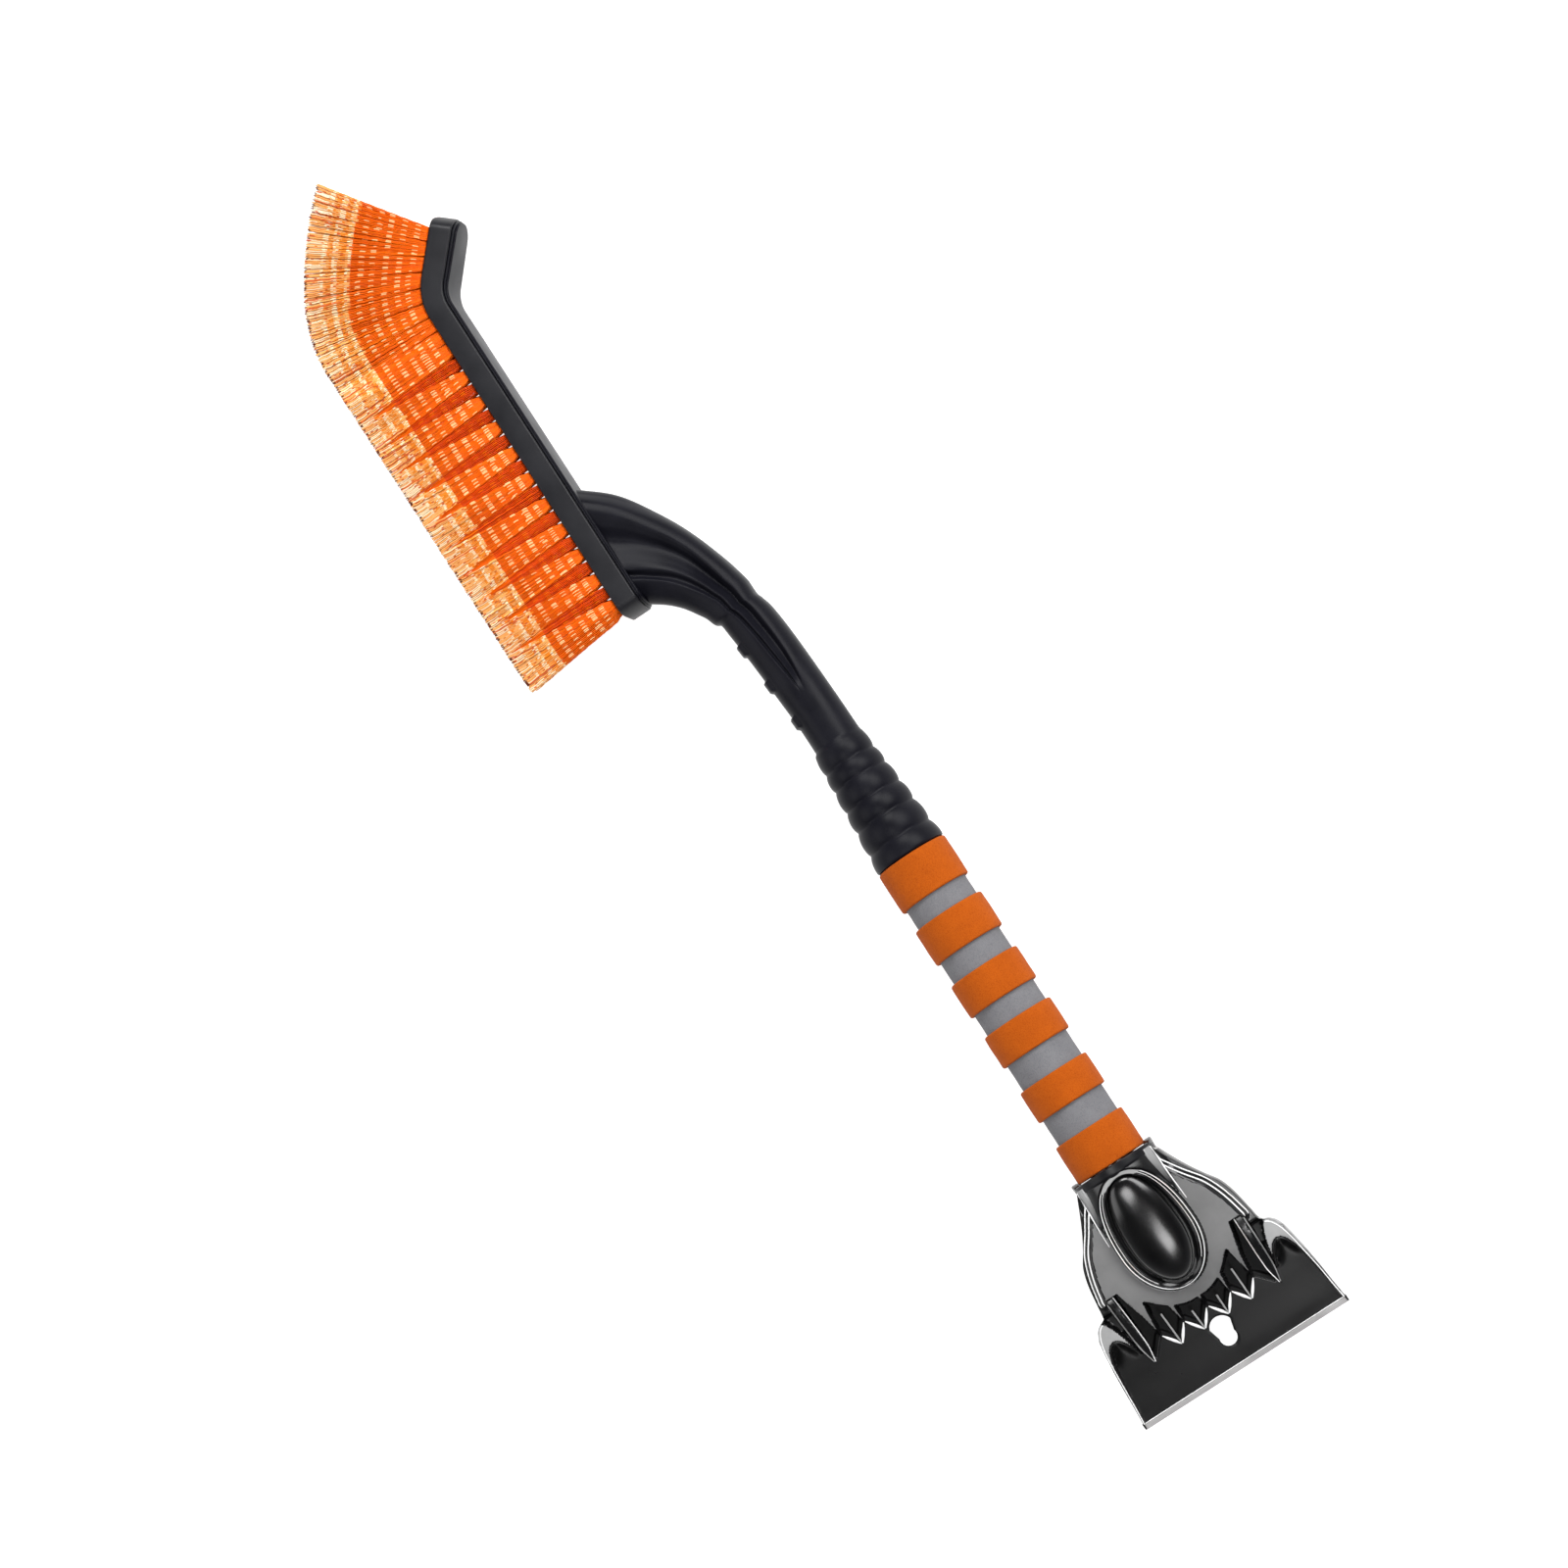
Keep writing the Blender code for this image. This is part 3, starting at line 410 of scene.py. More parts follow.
# ================================================================ scraper head
# Drawn from its own cutting edge (x), then set on the handle: X = 3.9 + 0.979 x.
OUTER = [(0.0, 54.6), (10.0, 53.6), (20.0, 52.8), (30.0, 51.7), (40.0, 50.2), (46.0, 49.0), (49.5, 47.4), (51.7, 45.2), (52.9, 43.0), (54.2, 41.7), (60.0, 40.7), (70.0, 39.0), (78.0, 36.5), (85.0, 32.0), (92.0, 27.8), (100.0, 23.7), (108.0, 20.0)]
DECK = [(108.0, -5.0), (108.0, 14.0), (100.0, 17.0), (97.0, 19.0), (90.0, 23.5), (80.0, 30.3), (70.0, 34.0), (60.0, 36.2), (60.0, 30.3), (50.0, 28.0), (45.0, 26.5), (38.0, 25.4), (32.6, 24.95), (32.6, 24.65), (42.0, 23.4), (50.2, 22.2), (48.6, 20.4), (46.0, 17.8), (42.9, 14.2), (33.0, 12.75), (32.6, 12.4), (33.0, 12.2), (41.3, 11.4), (39.7, 7.5), (39.0, 4.0), (38.8, 0.8), (32.8, 0.25), (32.8, -0.25), (38.8, -0.8), (38.8, -5.0)]
EAR = [(31.0, 36.6), (36.0, 37.2), (42.0, 38.3), (47.0, 39.9), (51.0, 41.6), (53.0, 43.4), (52.4, 45.2), (50.0, 47.4), (46.0, 49.4), (40.0, 50.5), (30.0, 52.0), (20.0, 53.1), (10.0, 53.9), (2.9, 54.6), (2.9, 53.3), (10.0, 52.6), (20.0, 51.6), (30.0, 50.2), (35.0, 49.2), (39.0, 47.6), (41.6, 45.5), (42.3, 43.6), (41.2, 41.4), (38.4, 39.3), (35.0, 37.8)]
FIN = [(24.4, 33.6), (34.0, 32.0), (60.6, 32.6), (60.6, 36.6), (34.0, 35.6)]
POCKETS = (
    ([(60.2, 30.0), (50.0, 28.0), (45.0, 26.5), (33.0, 25.0), (25.4, 31.6), (26.0, 33.0), (34.0, 32.0), (60.2, 33.0)], ((33.0, 25.0), (25.4, 31.6))),
    ([(50.4, 22.2), (33.0, 24.7), (24.6, 18.7), (33.0, 12.6), (42.5, 13.4), (48.0, 20.0)], ((33.0, 24.7), (24.6, 18.7), (33.0, 12.6))),
    ([(41.4, 11.6), (33.0, 12.4), (24.6, 6.4), (33.0, 0.1), (39.0, 0.4), (39.6, 6.5)], ((33.0, 12.4), (24.6, 6.4), (33.0, 0.1))),
)
BLADE_LINE = [(0.0, -18.4), (2.6, -17.4), (8.0, -16.7), (14.0, -15.6), (20.0, -14.15), (27.0, -12.25), (34.0, -10.4), (40.0, -8.95), (70.0, -2.6), (110.0, 6.0)]
DECK_LINE = [(24.0, -12.2), (32.6, -10.4), (36.0, -7.0), (40.0, -3.6), (45.0, -0.6), (52.0, 1.8), (60.0, 3.8), (85.0, 9.4), (108.0, 14.5)]
FLANK_LINE = [(46.0, -4.5), (50.0, -2.5), (60.0, 0.2), (85.0, 6.4), (108.0, 11.9)]
EAR_LINE = [(2.9, -16.3), (20.0, -11.4), (34.0, -4.6), (44.0, -0.9), (54.0, 0.9)]
FIN_LINE = [(24.4, -12.2), (60.0, 1.2), (61.0, 1.2)]
RIM_LINE = [(44.0, 1.6), (46.0, 2.5), (60.0, 7.6), (85.0, 14.2), (100.0, 17.2), (108.0, 18.0)]
FLOOR_LINE = [(44.0, 0.8), (49.0, 2.2), (105.0, 14.0), (110.0, 15.0)]
UNDER_LINE = [(0.0, -20.0), (5.0, -20.0), (12.0, -18.0), (84.0, -9.0), (110.0, -6.0)]


def egg(x0, x1, half, widest=0.42, count=96):
    middle = x0 + (x1 - x0) * widest
    a = np.arange(count) * math.tau / count
    reach = np.where(np.cos(a) > 0, x1 - middle, middle - x0)
    full = np.where(np.cos(a) > 0, 2.0 / 2.3, 1.0)
    c, s = np.abs(np.cos(a)) ** full * np.sign(np.cos(a)), np.abs(np.sin(a)) ** full * np.sign(np.sin(a))
    return np.stack([middle + reach * c, half * s], -1)


def poly_distance(px, py, poly):
    """Distance to a closed outline, negative inside."""
    poly = np.asarray(poly, float)
    best = np.full(px.shape, 1e9)
    inside = np.zeros(px.shape, bool)
    for (ax, ay), (bx, by) in zip(poly, np.roll(poly, -1, axis=0)):
        ex, ey = bx - ax, by - ay
        t = np.clip(((px - ax) * ex + (py - ay) * ey) / (ex * ex + ey * ey + 1e-12), 0, 1)
        best = np.minimum(best, np.hypot(px - ax - t * ex, py - ay - t * ey))
        if ay != by:
            inside ^= ((ay > py) != (by > py)) & (px < (bx - ax) * (py - ay) / (by - ay) + ax)
    return np.where(inside, -best, best)


def path_distance(px, py, path):
    best = np.full(px.shape, 1e9)
    for (ax, ay), (bx, by) in zip(path, path[1:]):
        ex, ey = bx - ax, by - ay
        t = np.clip(((px - ax) * ex + (py - ay) * ey) / (ex * ex + ey * ey), 0, 1)
        best = np.minimum(best, np.hypot(px - ax - t * ex, py - ay - t * ey))
    return best


def level(line, x):
    return np.interp(x, [p[0] for p in line], [p[1] for p in line])


def soft_level(line, x):
    return pchip([p[0] for p in line], [p[1] for p in line], np.clip(x, line[0][0], line[-1][0]))


def mix(a, b, t):
    return a + (b - a) * t


def rim_profile(x, y, w):
    """Height across the oval rim, from its outer edge (w = 0) to the thumb rest (w = 1)."""
    side = ease((y - 4.0) / 9.0)
    front = ease((x - 52.0) / 8.0)
    crest = (
        -0.75
        + 1.0 * np.exp(-(((w - 0.12) / 0.07) ** 2))
        + 0.85 * np.exp(-(((w - 0.40) / 0.06) ** 2)) * side * front
        + 0.65 * np.exp(-(((w - 0.66) / 0.05) ** 2)) * side * front
        - 1.0 * ease((w - 0.62) / 0.3)
    )
    crest = crest - 1.2 * (1 - front) * ease((w - 0.2) / 0.6)
    top_end = ease((x - 97.0) / 7.0) * ease((14.0 - y) / 5.0)
    crest = crest + (0.25 - 0.4 * w - crest) * top_end
    top = soft_level(RIM_LINE, x) + crest
    return top + (level(FLOOR_LINE, x) + 0.5 - top) * ease((w - 0.92) / 0.08)


def scraper_surface(x, y):
    """Height of the upper side, and which finish each point has."""
    y = np.abs(y)
    blade = soft_level(BLADE_LINE, x)
    z = blade.copy()
    finish = np.zeros(x.shape, int)  # 0 blade, 1 gloss, 2 satin deck with a painted reflection, 3 satin ear and rim top with a painted reflection, 6 pockets with painted shade
    d_deck = poly_distance(x, y, DECK)
    flank = soft_level(FLANK_LINE, x)
    outside_deck = np.maximum(d_deck, 0.0)
    # flanks, from the ears to the collar; the rails stand on them
    on_flank = ease((x - 53.0) / 2.0) * ease((y - (level([(50.0, 37.3), (60.0, 36.0), (110.0, 0.0)], x))) / 0.8 + 0.5)
    deck = soft_level(DECK_LINE, x)
    shape = mix(deck - 0.2, flank, ease(outside_deck / 4.0))
    shape -= 0.5 * ease(outside_deck / 0.5)
    z = mix(z, np.maximum(shape, z), on_flank)
    finish[on_flank > 0.3] = 1
    # pockets between the spurs
    sunk = np.zeros(x.shape, bool)
    for poly, edge in POCKETS:
        d = poly_distance(x, y, poly)
        inside = ease(-d / 0.35)
        away = path_distance(x, y, edge)
        slope = np.clip(away / 2.3, 0, 1) * 1.0 + ease((away - 2.3) / 0.6) * 1.9
        z = np.where(d < 0, z - inside * slope, z)
        finish[d < -0.15] = 1
        sunk[d < -0.55] = True
    # the blade drops away under the arch of each ear
    arch = poly_distance(x, y, EAR)
    z = z - 1.3 * np.exp(-((np.maximum(arch, 0.0) / 2.6) ** 2)) * ease((x - 29.0) / 6.0) * (y > 36.0) * (x < 44.0)
    d = poly_distance(x, y, FIN)
    on = ease(0.5 - d / 0.9)
    fin = soft_level(FIN_LINE, x) - 0.25
    z = mix(z, np.maximum(fin, z), on)
    finish[d < 0.3] = 1
    # deck with its spurs
    on = ease(0.5 - d_deck / 0.9)
    z = mix(z, np.maximum(deck, z), on)
    finish[(d_deck < 0.45)] = 1
    # the deck faces take the grey satin colour: a painted reflection
    finish[(d_deck < -0.30)] = 2
    # ears and side lips
    d_ear = poly_distance(x, y, EAR)
    on = ease(0.5 - d_ear / 0.9)
    ear = soft_level(EAR_LINE, x)
    z = mix(z, np.maximum(ear, z), on)
    finish[d_ear < 0.45] = 1
    # the tops of the ears take the light grey colour: a painted reflection
    finish[(d_ear < -0.32) & (x > 27.0)] = 3
    # oval rim: three crests that step down to the groove round the thumb rest
    d_rim = poly_distance(x, y, egg(45.7, 106.4, 19.2))
    d_dome = poly_distance(x, y, egg(50.2, 104.2, 13.6))
    w = np.clip(-d_rim / np.maximum(1e-6, -d_rim + np.maximum(d_dome, 0.0)), 0, 1)
    groove = soft_level(FLOOR_LINE, x)
    ring = np.where(w > 0.5, groove - 0.3, np.minimum(z, soft_level(RIM_LINE, x)) - 0.4)
    on = ease(0.5 - d_rim / 0.9)
    # shoulders that sweep up to the collar
    rise = ease((x - 84.0) / 21.0)
    round_top = 0.9 * np.sqrt(np.maximum(0.0, 20.9**2 - np.minimum(y, 20.4) ** 2)) - 0.5
    sweep = mix(z, np.maximum(round_top, z - 3.0), rise * ease((22.0 - y + (108.0 - x) * 0.12) / 4.5))
    z = np.where(x > 84.0, sweep, z)
    finish[(rise > 0.12) & (y < 20.5)] = 1
    finish[(rise > 0.45)] = 1
    z = mix(z, ring, on)
    finish[d_rim < 0.35] = 1
    # faces deep in the pockets take the darker pocket colour: painted shade
    finish[sunk & (finish == 1) & (d > 0.4) & (d_deck > 0.5) & (d_ear > 0.5)] = 6
    return z, finish


def scraper_under(x, y):
    y = np.abs(y)
    plate = level(UNDER_LINE, x)
    core = level([(50.0, -12.5), (60.0, -11.0), (80.0, -12.4), (96.0, -15.0), (108.0, -16.5)], x)
    round_under = -0.9 * np.sqrt(np.maximum(0.0, 20.6**2 - np.minimum(y, 20.5) ** 2)) + 0.5
    flank = level([(50.0, -12.2), (80.0, -11.0), (107.0, -10.4)], x)
    body = mix(mix(flank, core, ease((level([(50.0, 30.0), (80.0, 26.0), (108.0, 15.0)], x) - y) / 3.0 + 0.5)), round_under, ease((x - 88.0) / 18.0) * ease((20.8 - y) / 2.0))
    return mix(plate, body, ease((x - 50.0) / 14.0))


def sweep(path, ring, closed=False):
    """Points and faces of a tube: ring(k) gives the closed outline at path station k."""
    rings = np.array([ring(k) for k in range(len(path))])
    r_n, c_n, _ = rings.shape
    pts = rings.reshape(-1, 3)
    if closed:
        quads = np.vstack([grid_faces(r_n, c_n, True), grid_faces(2, c_n, True)])
        last = (r_n - 1) * c_n
        j = np.arange(c_n)
        k = (j + 1) % c_n
        quads[-c_n:] = np.stack([last + j, last + k, k, j], -1)
        return pts, quads, None
    pts = np.vstack([pts, rings[0].mean(0), rings[-1].mean(0)])
    ends = np.vstack([fan(np.arange(c_n), r_n * c_n, True), fan(np.arange((r_n - 1) * c_n, r_n * c_n), r_n * c_n + 1)])
    return pts, grid_faces(r_n, c_n, True), ends


def cord_rib(path, radii, sides=12, flat=1.0):
    """A rounded rib laid along a path of (x, y, z), half sunk in the surface under it."""
    path = np.asarray(path, float)
    t = np.concatenate([[0], np.cumsum(np.linalg.norm(np.diff(path, axis=0), axis=1))])
    fine = np.linspace(0, t[-1], max(8, int(t[-1] / 0.7)))
    pts = np.stack([pchip(t, path[:, i], fine) for i in range(3)], -1)
    rad = np.interp(fine, t, radii)
    along = np.gradient(pts, axis=0)
    along /= np.linalg.norm(along, axis=1)[:, None]
    a = np.arange(sides) * math.tau / sides

    def ring(k):
        side = np.cross(along[k], (0, 0, 1.0))
        side /= np.linalg.norm(side)
        up = np.cross(side, along[k])
        return pts[k] + rad[k] * (np.outer(np.cos(a), side) + np.outer(np.sin(a) * flat, up))

    return sweep(fine, ring)


def field_height(points, lift=0.0):
    x, y = np.array([p[0] for p in points], float), np.array([p[1] for p in points], float)
    z, _ = scraper_surface(x, y)
    return [(px, py, pz + lift) for (px, py), pz in zip(points, z)]


def build_scraper():
    front = np.concatenate([[2.9, 3.1], np.linspace(3.6, 24.0, 26), np.linspace(24.0, 47.0, 68)[1:], np.linspace(47.0, 62.0, 30)[1:], np.linspace(62.0, 84.0, 32)[1:]])
    rear = np.linspace(84.0, 108.0, 66)[1:]
    half = np.concatenate([np.linspace(0.0, 0.76, 92), np.linspace(0.76, 0.955, 19)[1:], np.linspace(0.955, 0.993, 11)[1:], [1.0]])
    q_all = np.concatenate([-half[:0:-1], half])
    q_rear = q_all[::2]
    xs = np.concatenate([front, rear])
    width = pchip([p[0] for p in OUTER], [p[1] for p in OUTER], xs)
    nf, ny, nr = len(front), len(q_all), len(q_rear)
    X = np.repeat(front[:, None], ny, 1)
    Y = width[:nf, None] * q_all[None, :]
    # hang hole
    (far_x, far_r), (near_x, near_r) = (20.9, 5.8), (15.9, 4.2)
    spread = math.acos((far_r - near_r) / (far_x - near_x))
    a = np.linspace(-spread, spread, 160)
    b = np.linspace(spread, math.tau - spread, 120)
    hole = np.vstack([np.stack([far_x + far_r * np.cos(a), far_r * np.sin(a)], -1), np.stack([near_x + near_r * np.cos(b), near_r * np.sin(b)], -1)])
    cx = (X[:-1, :-1] + X[1:, 1:]) / 2
    cy = (Y[:-1, :-1] + Y[:-1, 1:] + Y[1:, :-1] + Y[1:, 1:]) / 4
    keep = poly_distance(cx, cy, hole) > 0
    used = np.zeros((nf, ny), int)
    for dx in (0, 1):
        for dy in (0, 1):
            used[dx : nf - 1 + dx, dy : ny - 1 + dy] += ~keep
    border = (used > 0) & (used < 4)
    for i, j in zip(*np.where(border)):
        k = np.argmin((hole[:, 0] - X[i, j]) ** 2 + (hole[:, 1] - Y[i, j]) ** 2)
        X[i, j], Y[i, j] = hole[k]
    XR = np.repeat(rear[:, None], nr, 1)
    YR = width[nf:, None] * q_rear[None, :]
    x = np.concatenate([X.ravel(), XR.ravel()])
    y = np.concatenate([Y.ravel(), YR.ravel()])
    n = len(x)
    z, finish = scraper_surface(x, y)
    u = np.maximum(np.minimum(scraper_under(x, y), z - 0.9), -20.0)
    rim = np.zeros(n, bool)
    front_i = np.arange(nf * ny).reshape(nf, ny)
    rear_i = np.arange(len(rear) * nr).reshape(len(rear), nr) + nf * ny
    rim[front_i[0]] = rim[front_i[:, 0]] = rim[front_i[:, -1]] = True
    rim[rear_i[:, 0]] = rim[rear_i[:, -1]] = True
    rim[front_i[border]] = True
    z = np.where(rim, z - 0.3, z)
    z = np.maximum(z, u + 0.15)

    def cells(idx):
        return np.stack([idx[:-1, :-1], idx[1:, :-1], idx[1:, 1:], idx[:-1, 1:]], -1).reshape(-1, 4)

    quads = np.vstack([cells(front_i)[keep.ravel()], cells(rear_i)])
    last, first = front_i[-1], rear_i[0]
    fives = np.stack([last[:-2:2], first[:-1], first[1:], last[2::2], last[1:-1:2]], -1)

    def kinds(faces):
        f = finish[faces]
        low, high = f.min(1), f.max(1)
        kind = np.where(high >= 2, np.where(low == high, high, np.where((high == 6) & (low == 1), 6, 1)), high)
        return kind

    edges = []
    for strip in (np.concatenate([front_i[:, 0], rear_i[:, 0]])[::-1], np.concatenate([front_i[:, -1], rear_i[:, -1]]), front_i[0], rear_i[-1][::-1]):
        edges.append(np.stack([strip[:-1], strip[1:]], -1))
    padded = np.ones((nf + 1, ny + 1), bool)
    padded[1:-1, 1:-1] = keep
    for (si, sj), (e1, e2) in (((-1, 0), ((0, 0), (0, 1))), ((1, 0), ((1, 1), (1, 0))), ((0, -1), ((1, 0), (0, 0))), ((0, 1), ((0, 1), (1, 1)))):
        gi, gj = np.where(keep & ~padded[1 + si : nf + si, 1 + sj : ny + sj])
        edges.append(np.stack([front_i[gi + e1[0], gj + e1[1]], front_i[gi + e2[0], gj + e2[1]]], -1))
    edges = np.vstack(edges)
    walls = np.stack([edges[:, 0], edges[:, 1], edges[:, 1] + n, edges[:, 0] + n], -1)
    points = [np.stack([x, y, z], -1), np.stack([x, y, u], -1)]
    groups = [(quads, kinds(quads)), (fives, kinds(fives)), (quads[:, ::-1] + n, 1), (fives[:, ::-1] + n, 1), (walls, 1)]

    trim_points, trim_groups, trim_count = [], [], 0

    def add(pts, faces, material, ends=None, flip=False):
        nonlocal trim_count
        trim_points.append(pts)
        trim_groups.append(((faces[:, ::-1] if flip else faces) + trim_count, material))
        if ends is not None:
            trim_groups.append(((ends[:, ::-1] if flip else ends) + trim_count, material))
        trim_count += len(pts)

    def both(path, radii, material, **kw):
        for sign in (1, -1):
            pts, faces, ends = cord_rib([(px, sign * py, pz) for px, py, pz in path], radii, **kw)
            add(pts, faces, material, ends)

    # collar: a cup whose corners are softened, lower than it is wide
    outline = dense(rounded([(100.0, 9.0), (101.5, 16.4), (106.8, 20.9), (110.4, 21.1), (110.7, 20.4), (110.7, 9.0)], [0.5, 2.5, 1.6, 0.35, 0.3, 0.3], 6), 0.6)
    pts, faces = lathe(outline, 144, flat_z=0.9)
    add(pts, faces, 7, flip=True)
    outline = rounded([(104.0, 0.02), (104.0, 11.7), (149.2, 11.7), (149.2, 0.02)], [0.0, 0.4, 1.2, 0.0], 5)
    pts, faces = lathe(dense(outline, 3.0), 96)
    add(pts, faces, 1, flip=True)
    # oval rim with its stepped crests
    count_a = 220
    outer, inner = egg(45.7, 106.4, 19.2, count=count_a), egg(50.2, 104.2, 13.6, count=count_a)
    ws = np.concatenate([[-0.02, 0.0], np.linspace(0.03, 0.99, 60), [1.0]])

    def rim_ring(k):
        p = outer[k] + (inner[k] - outer[k]) * ws[:, None]
        top = rim_profile(p[:, 0], np.abs(p[:, 1]), np.clip(ws, 0, 1))
        top[0], top[-1] = top[1] - 5.0, level(FLOOR_LINE, p[-1, 0]) - 0.8
        top[1] = top[2] - 0.8
        return np.column_stack([p, top])

    pts, faces, _ = sweep(outer, rim_ring, closed=True)
    # the rim's top end takes the light grey ear colour: a painted reflection
    rim_finish = np.where((pts[:, 0] > 101.8) & (np.abs(pts[:, 1]) < 12.5), 3, 1)
    c_n = len(ws)
    w_at = np.tile(ws, count_a)
    rim_finish = np.where((rim_finish == 3) & (w_at > 0.10) & (w_at < 0.74), 3, 1)
    rim_kind = np.where(rim_finish[faces].min(1) == 3, 3, 1)
    face_w, face_p = w_at[faces].mean(1), np.abs(pts[faces].mean(1))
    lower = face_p[:, 0] < 102.0
    sides = lower & (face_p[:, 0] > 54.0) & (face_p[:, 1] > 6.0)
    # two thin crest lines on the rim take the near-white colour: painted highlights
    crest_painted_highlight = lower & (np.abs(face_w - 0.12) < 0.035)
    crest_painted_highlight |= sides & (np.abs(face_w - 0.40) < 0.022)
    add(pts, faces, np.where(crest_painted_highlight, 4, rim_kind))
    # rails along the deck, drawn in the near-white line colour as painted highlights
    side = np.array([p for p in DECK if p[1] >= 17.0 and p[0] >= 60.0 and p[1] < 36.5 and not (p[0] == 60.0 and p[1] < 31)])
    order = np.argsort(side[:, 0])
    side = side[order]
    fx = np.linspace(58.5, 104.5, 60)
    sy = pchip(side[:, 0], side[:, 1], np.clip(fx, 60.0, 100.0)) - np.maximum(0.0, fx - 100.0) * 0.12
    slope = np.gradient(sy, fx)
    normal = np.stack([-slope, np.ones_like(slope)], -1) / np.hypot(slope, 1)[:, None]
    for off, radius, lift in ((1.35, 0.34, 0.2), (3.2, 0.32, 0.2)):
        line = np.column_stack([fx, sy]) + normal * off
        path = field_height([tuple(p) for p in line], lift)
        both(path, [radius * 0.4] + [radius] * (len(path) - 2) + [radius * 0.3], 4)
    # shoulders that run from the collar's corners to the rim, coloured with a painted highlight that grows towards the
    # collar, each with a crisp outer edge drawn as a painted highlight line
    reach = [(109.0, 16.6, 3.0), (105.0, 16.7, 3.0), (100.0, 17.2, 2.5), (95.0, 18.0, 1.8), (90.0, 18.8, 1.1), (84.0, 19.3, 0.4)]
    centre = field_height([(px, py) for px, py, _ in reach])
    both([(px, py, pz - 0.62 * r) for (px, py, pz), (_, _, r) in zip(centre, reach)], [r for _, _, r in reach], 5, sides=32)
    both(field_height([(108.4, 19.6), (104.0, 19.7), (99.0, 19.8), (94.0, 20.0), (88.0, 20.3), (80.0, 20.6)], 0.25), [0.3, 0.32, 0.32, 0.32, 0.3, 0.2], 4)
    # spines of the pockets, edges of the side fins and of the ears; the light grey and near-white ones are painted
    # highlights
    both([(25.4, 18.75, -12.1), (30.0, 18.8, -10.0), (41.5, 18.9, -4.9)], [0.25, 0.42, 0.45], 3)
    for tip_y, half_y in ((18.7, 6.0), (6.4, 6.1)):
        for way in (1, -1):
            v_path = [(24.9, tip_y + way * 0.25), (27.6, tip_y + way * half_y * 0.36), (30.4, tip_y + way * half_y * 0.70), (32.6, tip_y + way * half_y * 0.95)]
            both([(px, py, float(level(BLADE_LINE, px)) + 0.15) for px, py in v_path], [0.35, 0.75, 0.6, 0.2], 4, flat=0.8)
    both([(25.4, 6.4, -12.1), (29.0, 6.45, -10.4), (35.0, 6.6, -7.8)], [0.25, 0.42, 0.45], 3)
    both([(24.4, 33.3, -12.3), (34.0, 31.9, -8.5), (60.0, 32.5, 1.1)], [0.2, 0.27, 0.27], 4)
    both([(24.4, 33.9, -12.3), (34.0, 35.7, -8.5), (60.0, 36.6, 1.1)], [0.2, 0.34, 0.34], 3)
    ear_out = [(2.9, 53.75), (10.0, 52.95), (20.0, 52.05), (30.0, 50.85), (40.0, 49.45), (45.0, 48.2), (48.6, 46.6), (50.8, 44.8), (51.6, 43.4)]
    both([(px, py, float(soft_level(EAR_LINE, np.array([px]))[0]) + 0.0) for px, py in ear_out], [0.27] * len(ear_out), 4)
    ear_in = [(3.2, 53.1), (10.0, 52.35), (20.0, 51.35), (30.0, 50.0), (35.0, 49.0), (39.0, 47.4), (41.4, 45.4), (42.1, 43.6), (41.0, 41.5), (38.2, 39.5), (35.0, 38.0), (31.5, 36.7)]
    both([(px, py, float(soft_level(EAR_LINE, np.array([px]))[0]) - 0.15) for px, py in ear_in], [0.3] * len(ear_in), 1)
    # painted highlight along the upper edge of the bevel
    edge_path = [(2.95, py, float(level(BLADE_LINE, 2.95)) + 0.02) for py in np.linspace(-53.4, 53.4, 30)]
    pts, faces, ends = cord_rib(edge_path, [0.2] * 30)
    add(pts, faces, 4, ends)
    # lips that hug the foam at both sides of the collar
    outline = rounded([(109.6, 18.35), (109.6, 21.2), (112.6, 21.3), (112.6, 18.35)], [0.2, 0.5, 0.9, 0.4], 5)
    for centre in (0.0, math.pi):
        span_a = np.linspace(-0.36, 0.36, 29)

        def lip(k):
            cut = math.cos(span_a[k] / 0.36 * math.pi / 2 * 0.97)
            lx = np.minimum(outline[:, 0], 110.3 + 2.3 * cut**0.6)
            r = outline[:, 1]
            return np.stack([lx, r * math.cos(centre + span_a[k]), r * math.sin(centre + span_a[k]) * 0.93], -1)

        pts, faces, ends = sweep(span_a, lip)
        add(pts, faces, 1, ends)
    # the ends of the side lips, beside the strip
    for sign in (1, -1):
        outline = rounded([(0.0, -19.9), (0.15, -18.2), (3.4, -16.4), (3.4, -19.9)], [0.2, 0.4, 0.3, 0.2], 4)
        stops = ((54.0, 0.85), (54.12, 1.0), (54.6, 1.0), (54.75, 0.85))
        mid = outline.mean(0)

        def tab(k):
            o = mid + (outline - mid) * stops[k][1]
            return np.stack([o[:, 0], np.full(len(o), sign * stops[k][0]), o[:, 1]], -1)

        pts, faces, ends = sweep(stops, tab)
        add(pts, faces, 1, ends, flip=sign > 0)
    made = []
    for name, pts, faces in (("scraper_shell", points, groups), ("scraper_rims", trim_points, trim_groups)):
        pts = np.vstack(pts)
        pts[:, 0] = 3.9 + 0.979 * pts[:, 0]
        made.append(mesh_object(name, pts, faces, [BLADE, GLOSS, SATIN_DECK_PAINTED_REFLECTION, EAR_PAINTED_REFLECTION, LINE_PAINTED_HIGHLIGHT, SHOULDER_PAINTED_HIGHLIGHT, POCKET_PAINTED_SHADE, COLLAR], sharp=62))
    return made


for scraper_look in build_scraper():
    put(scraper_look, "handle", ["scraper_body"])

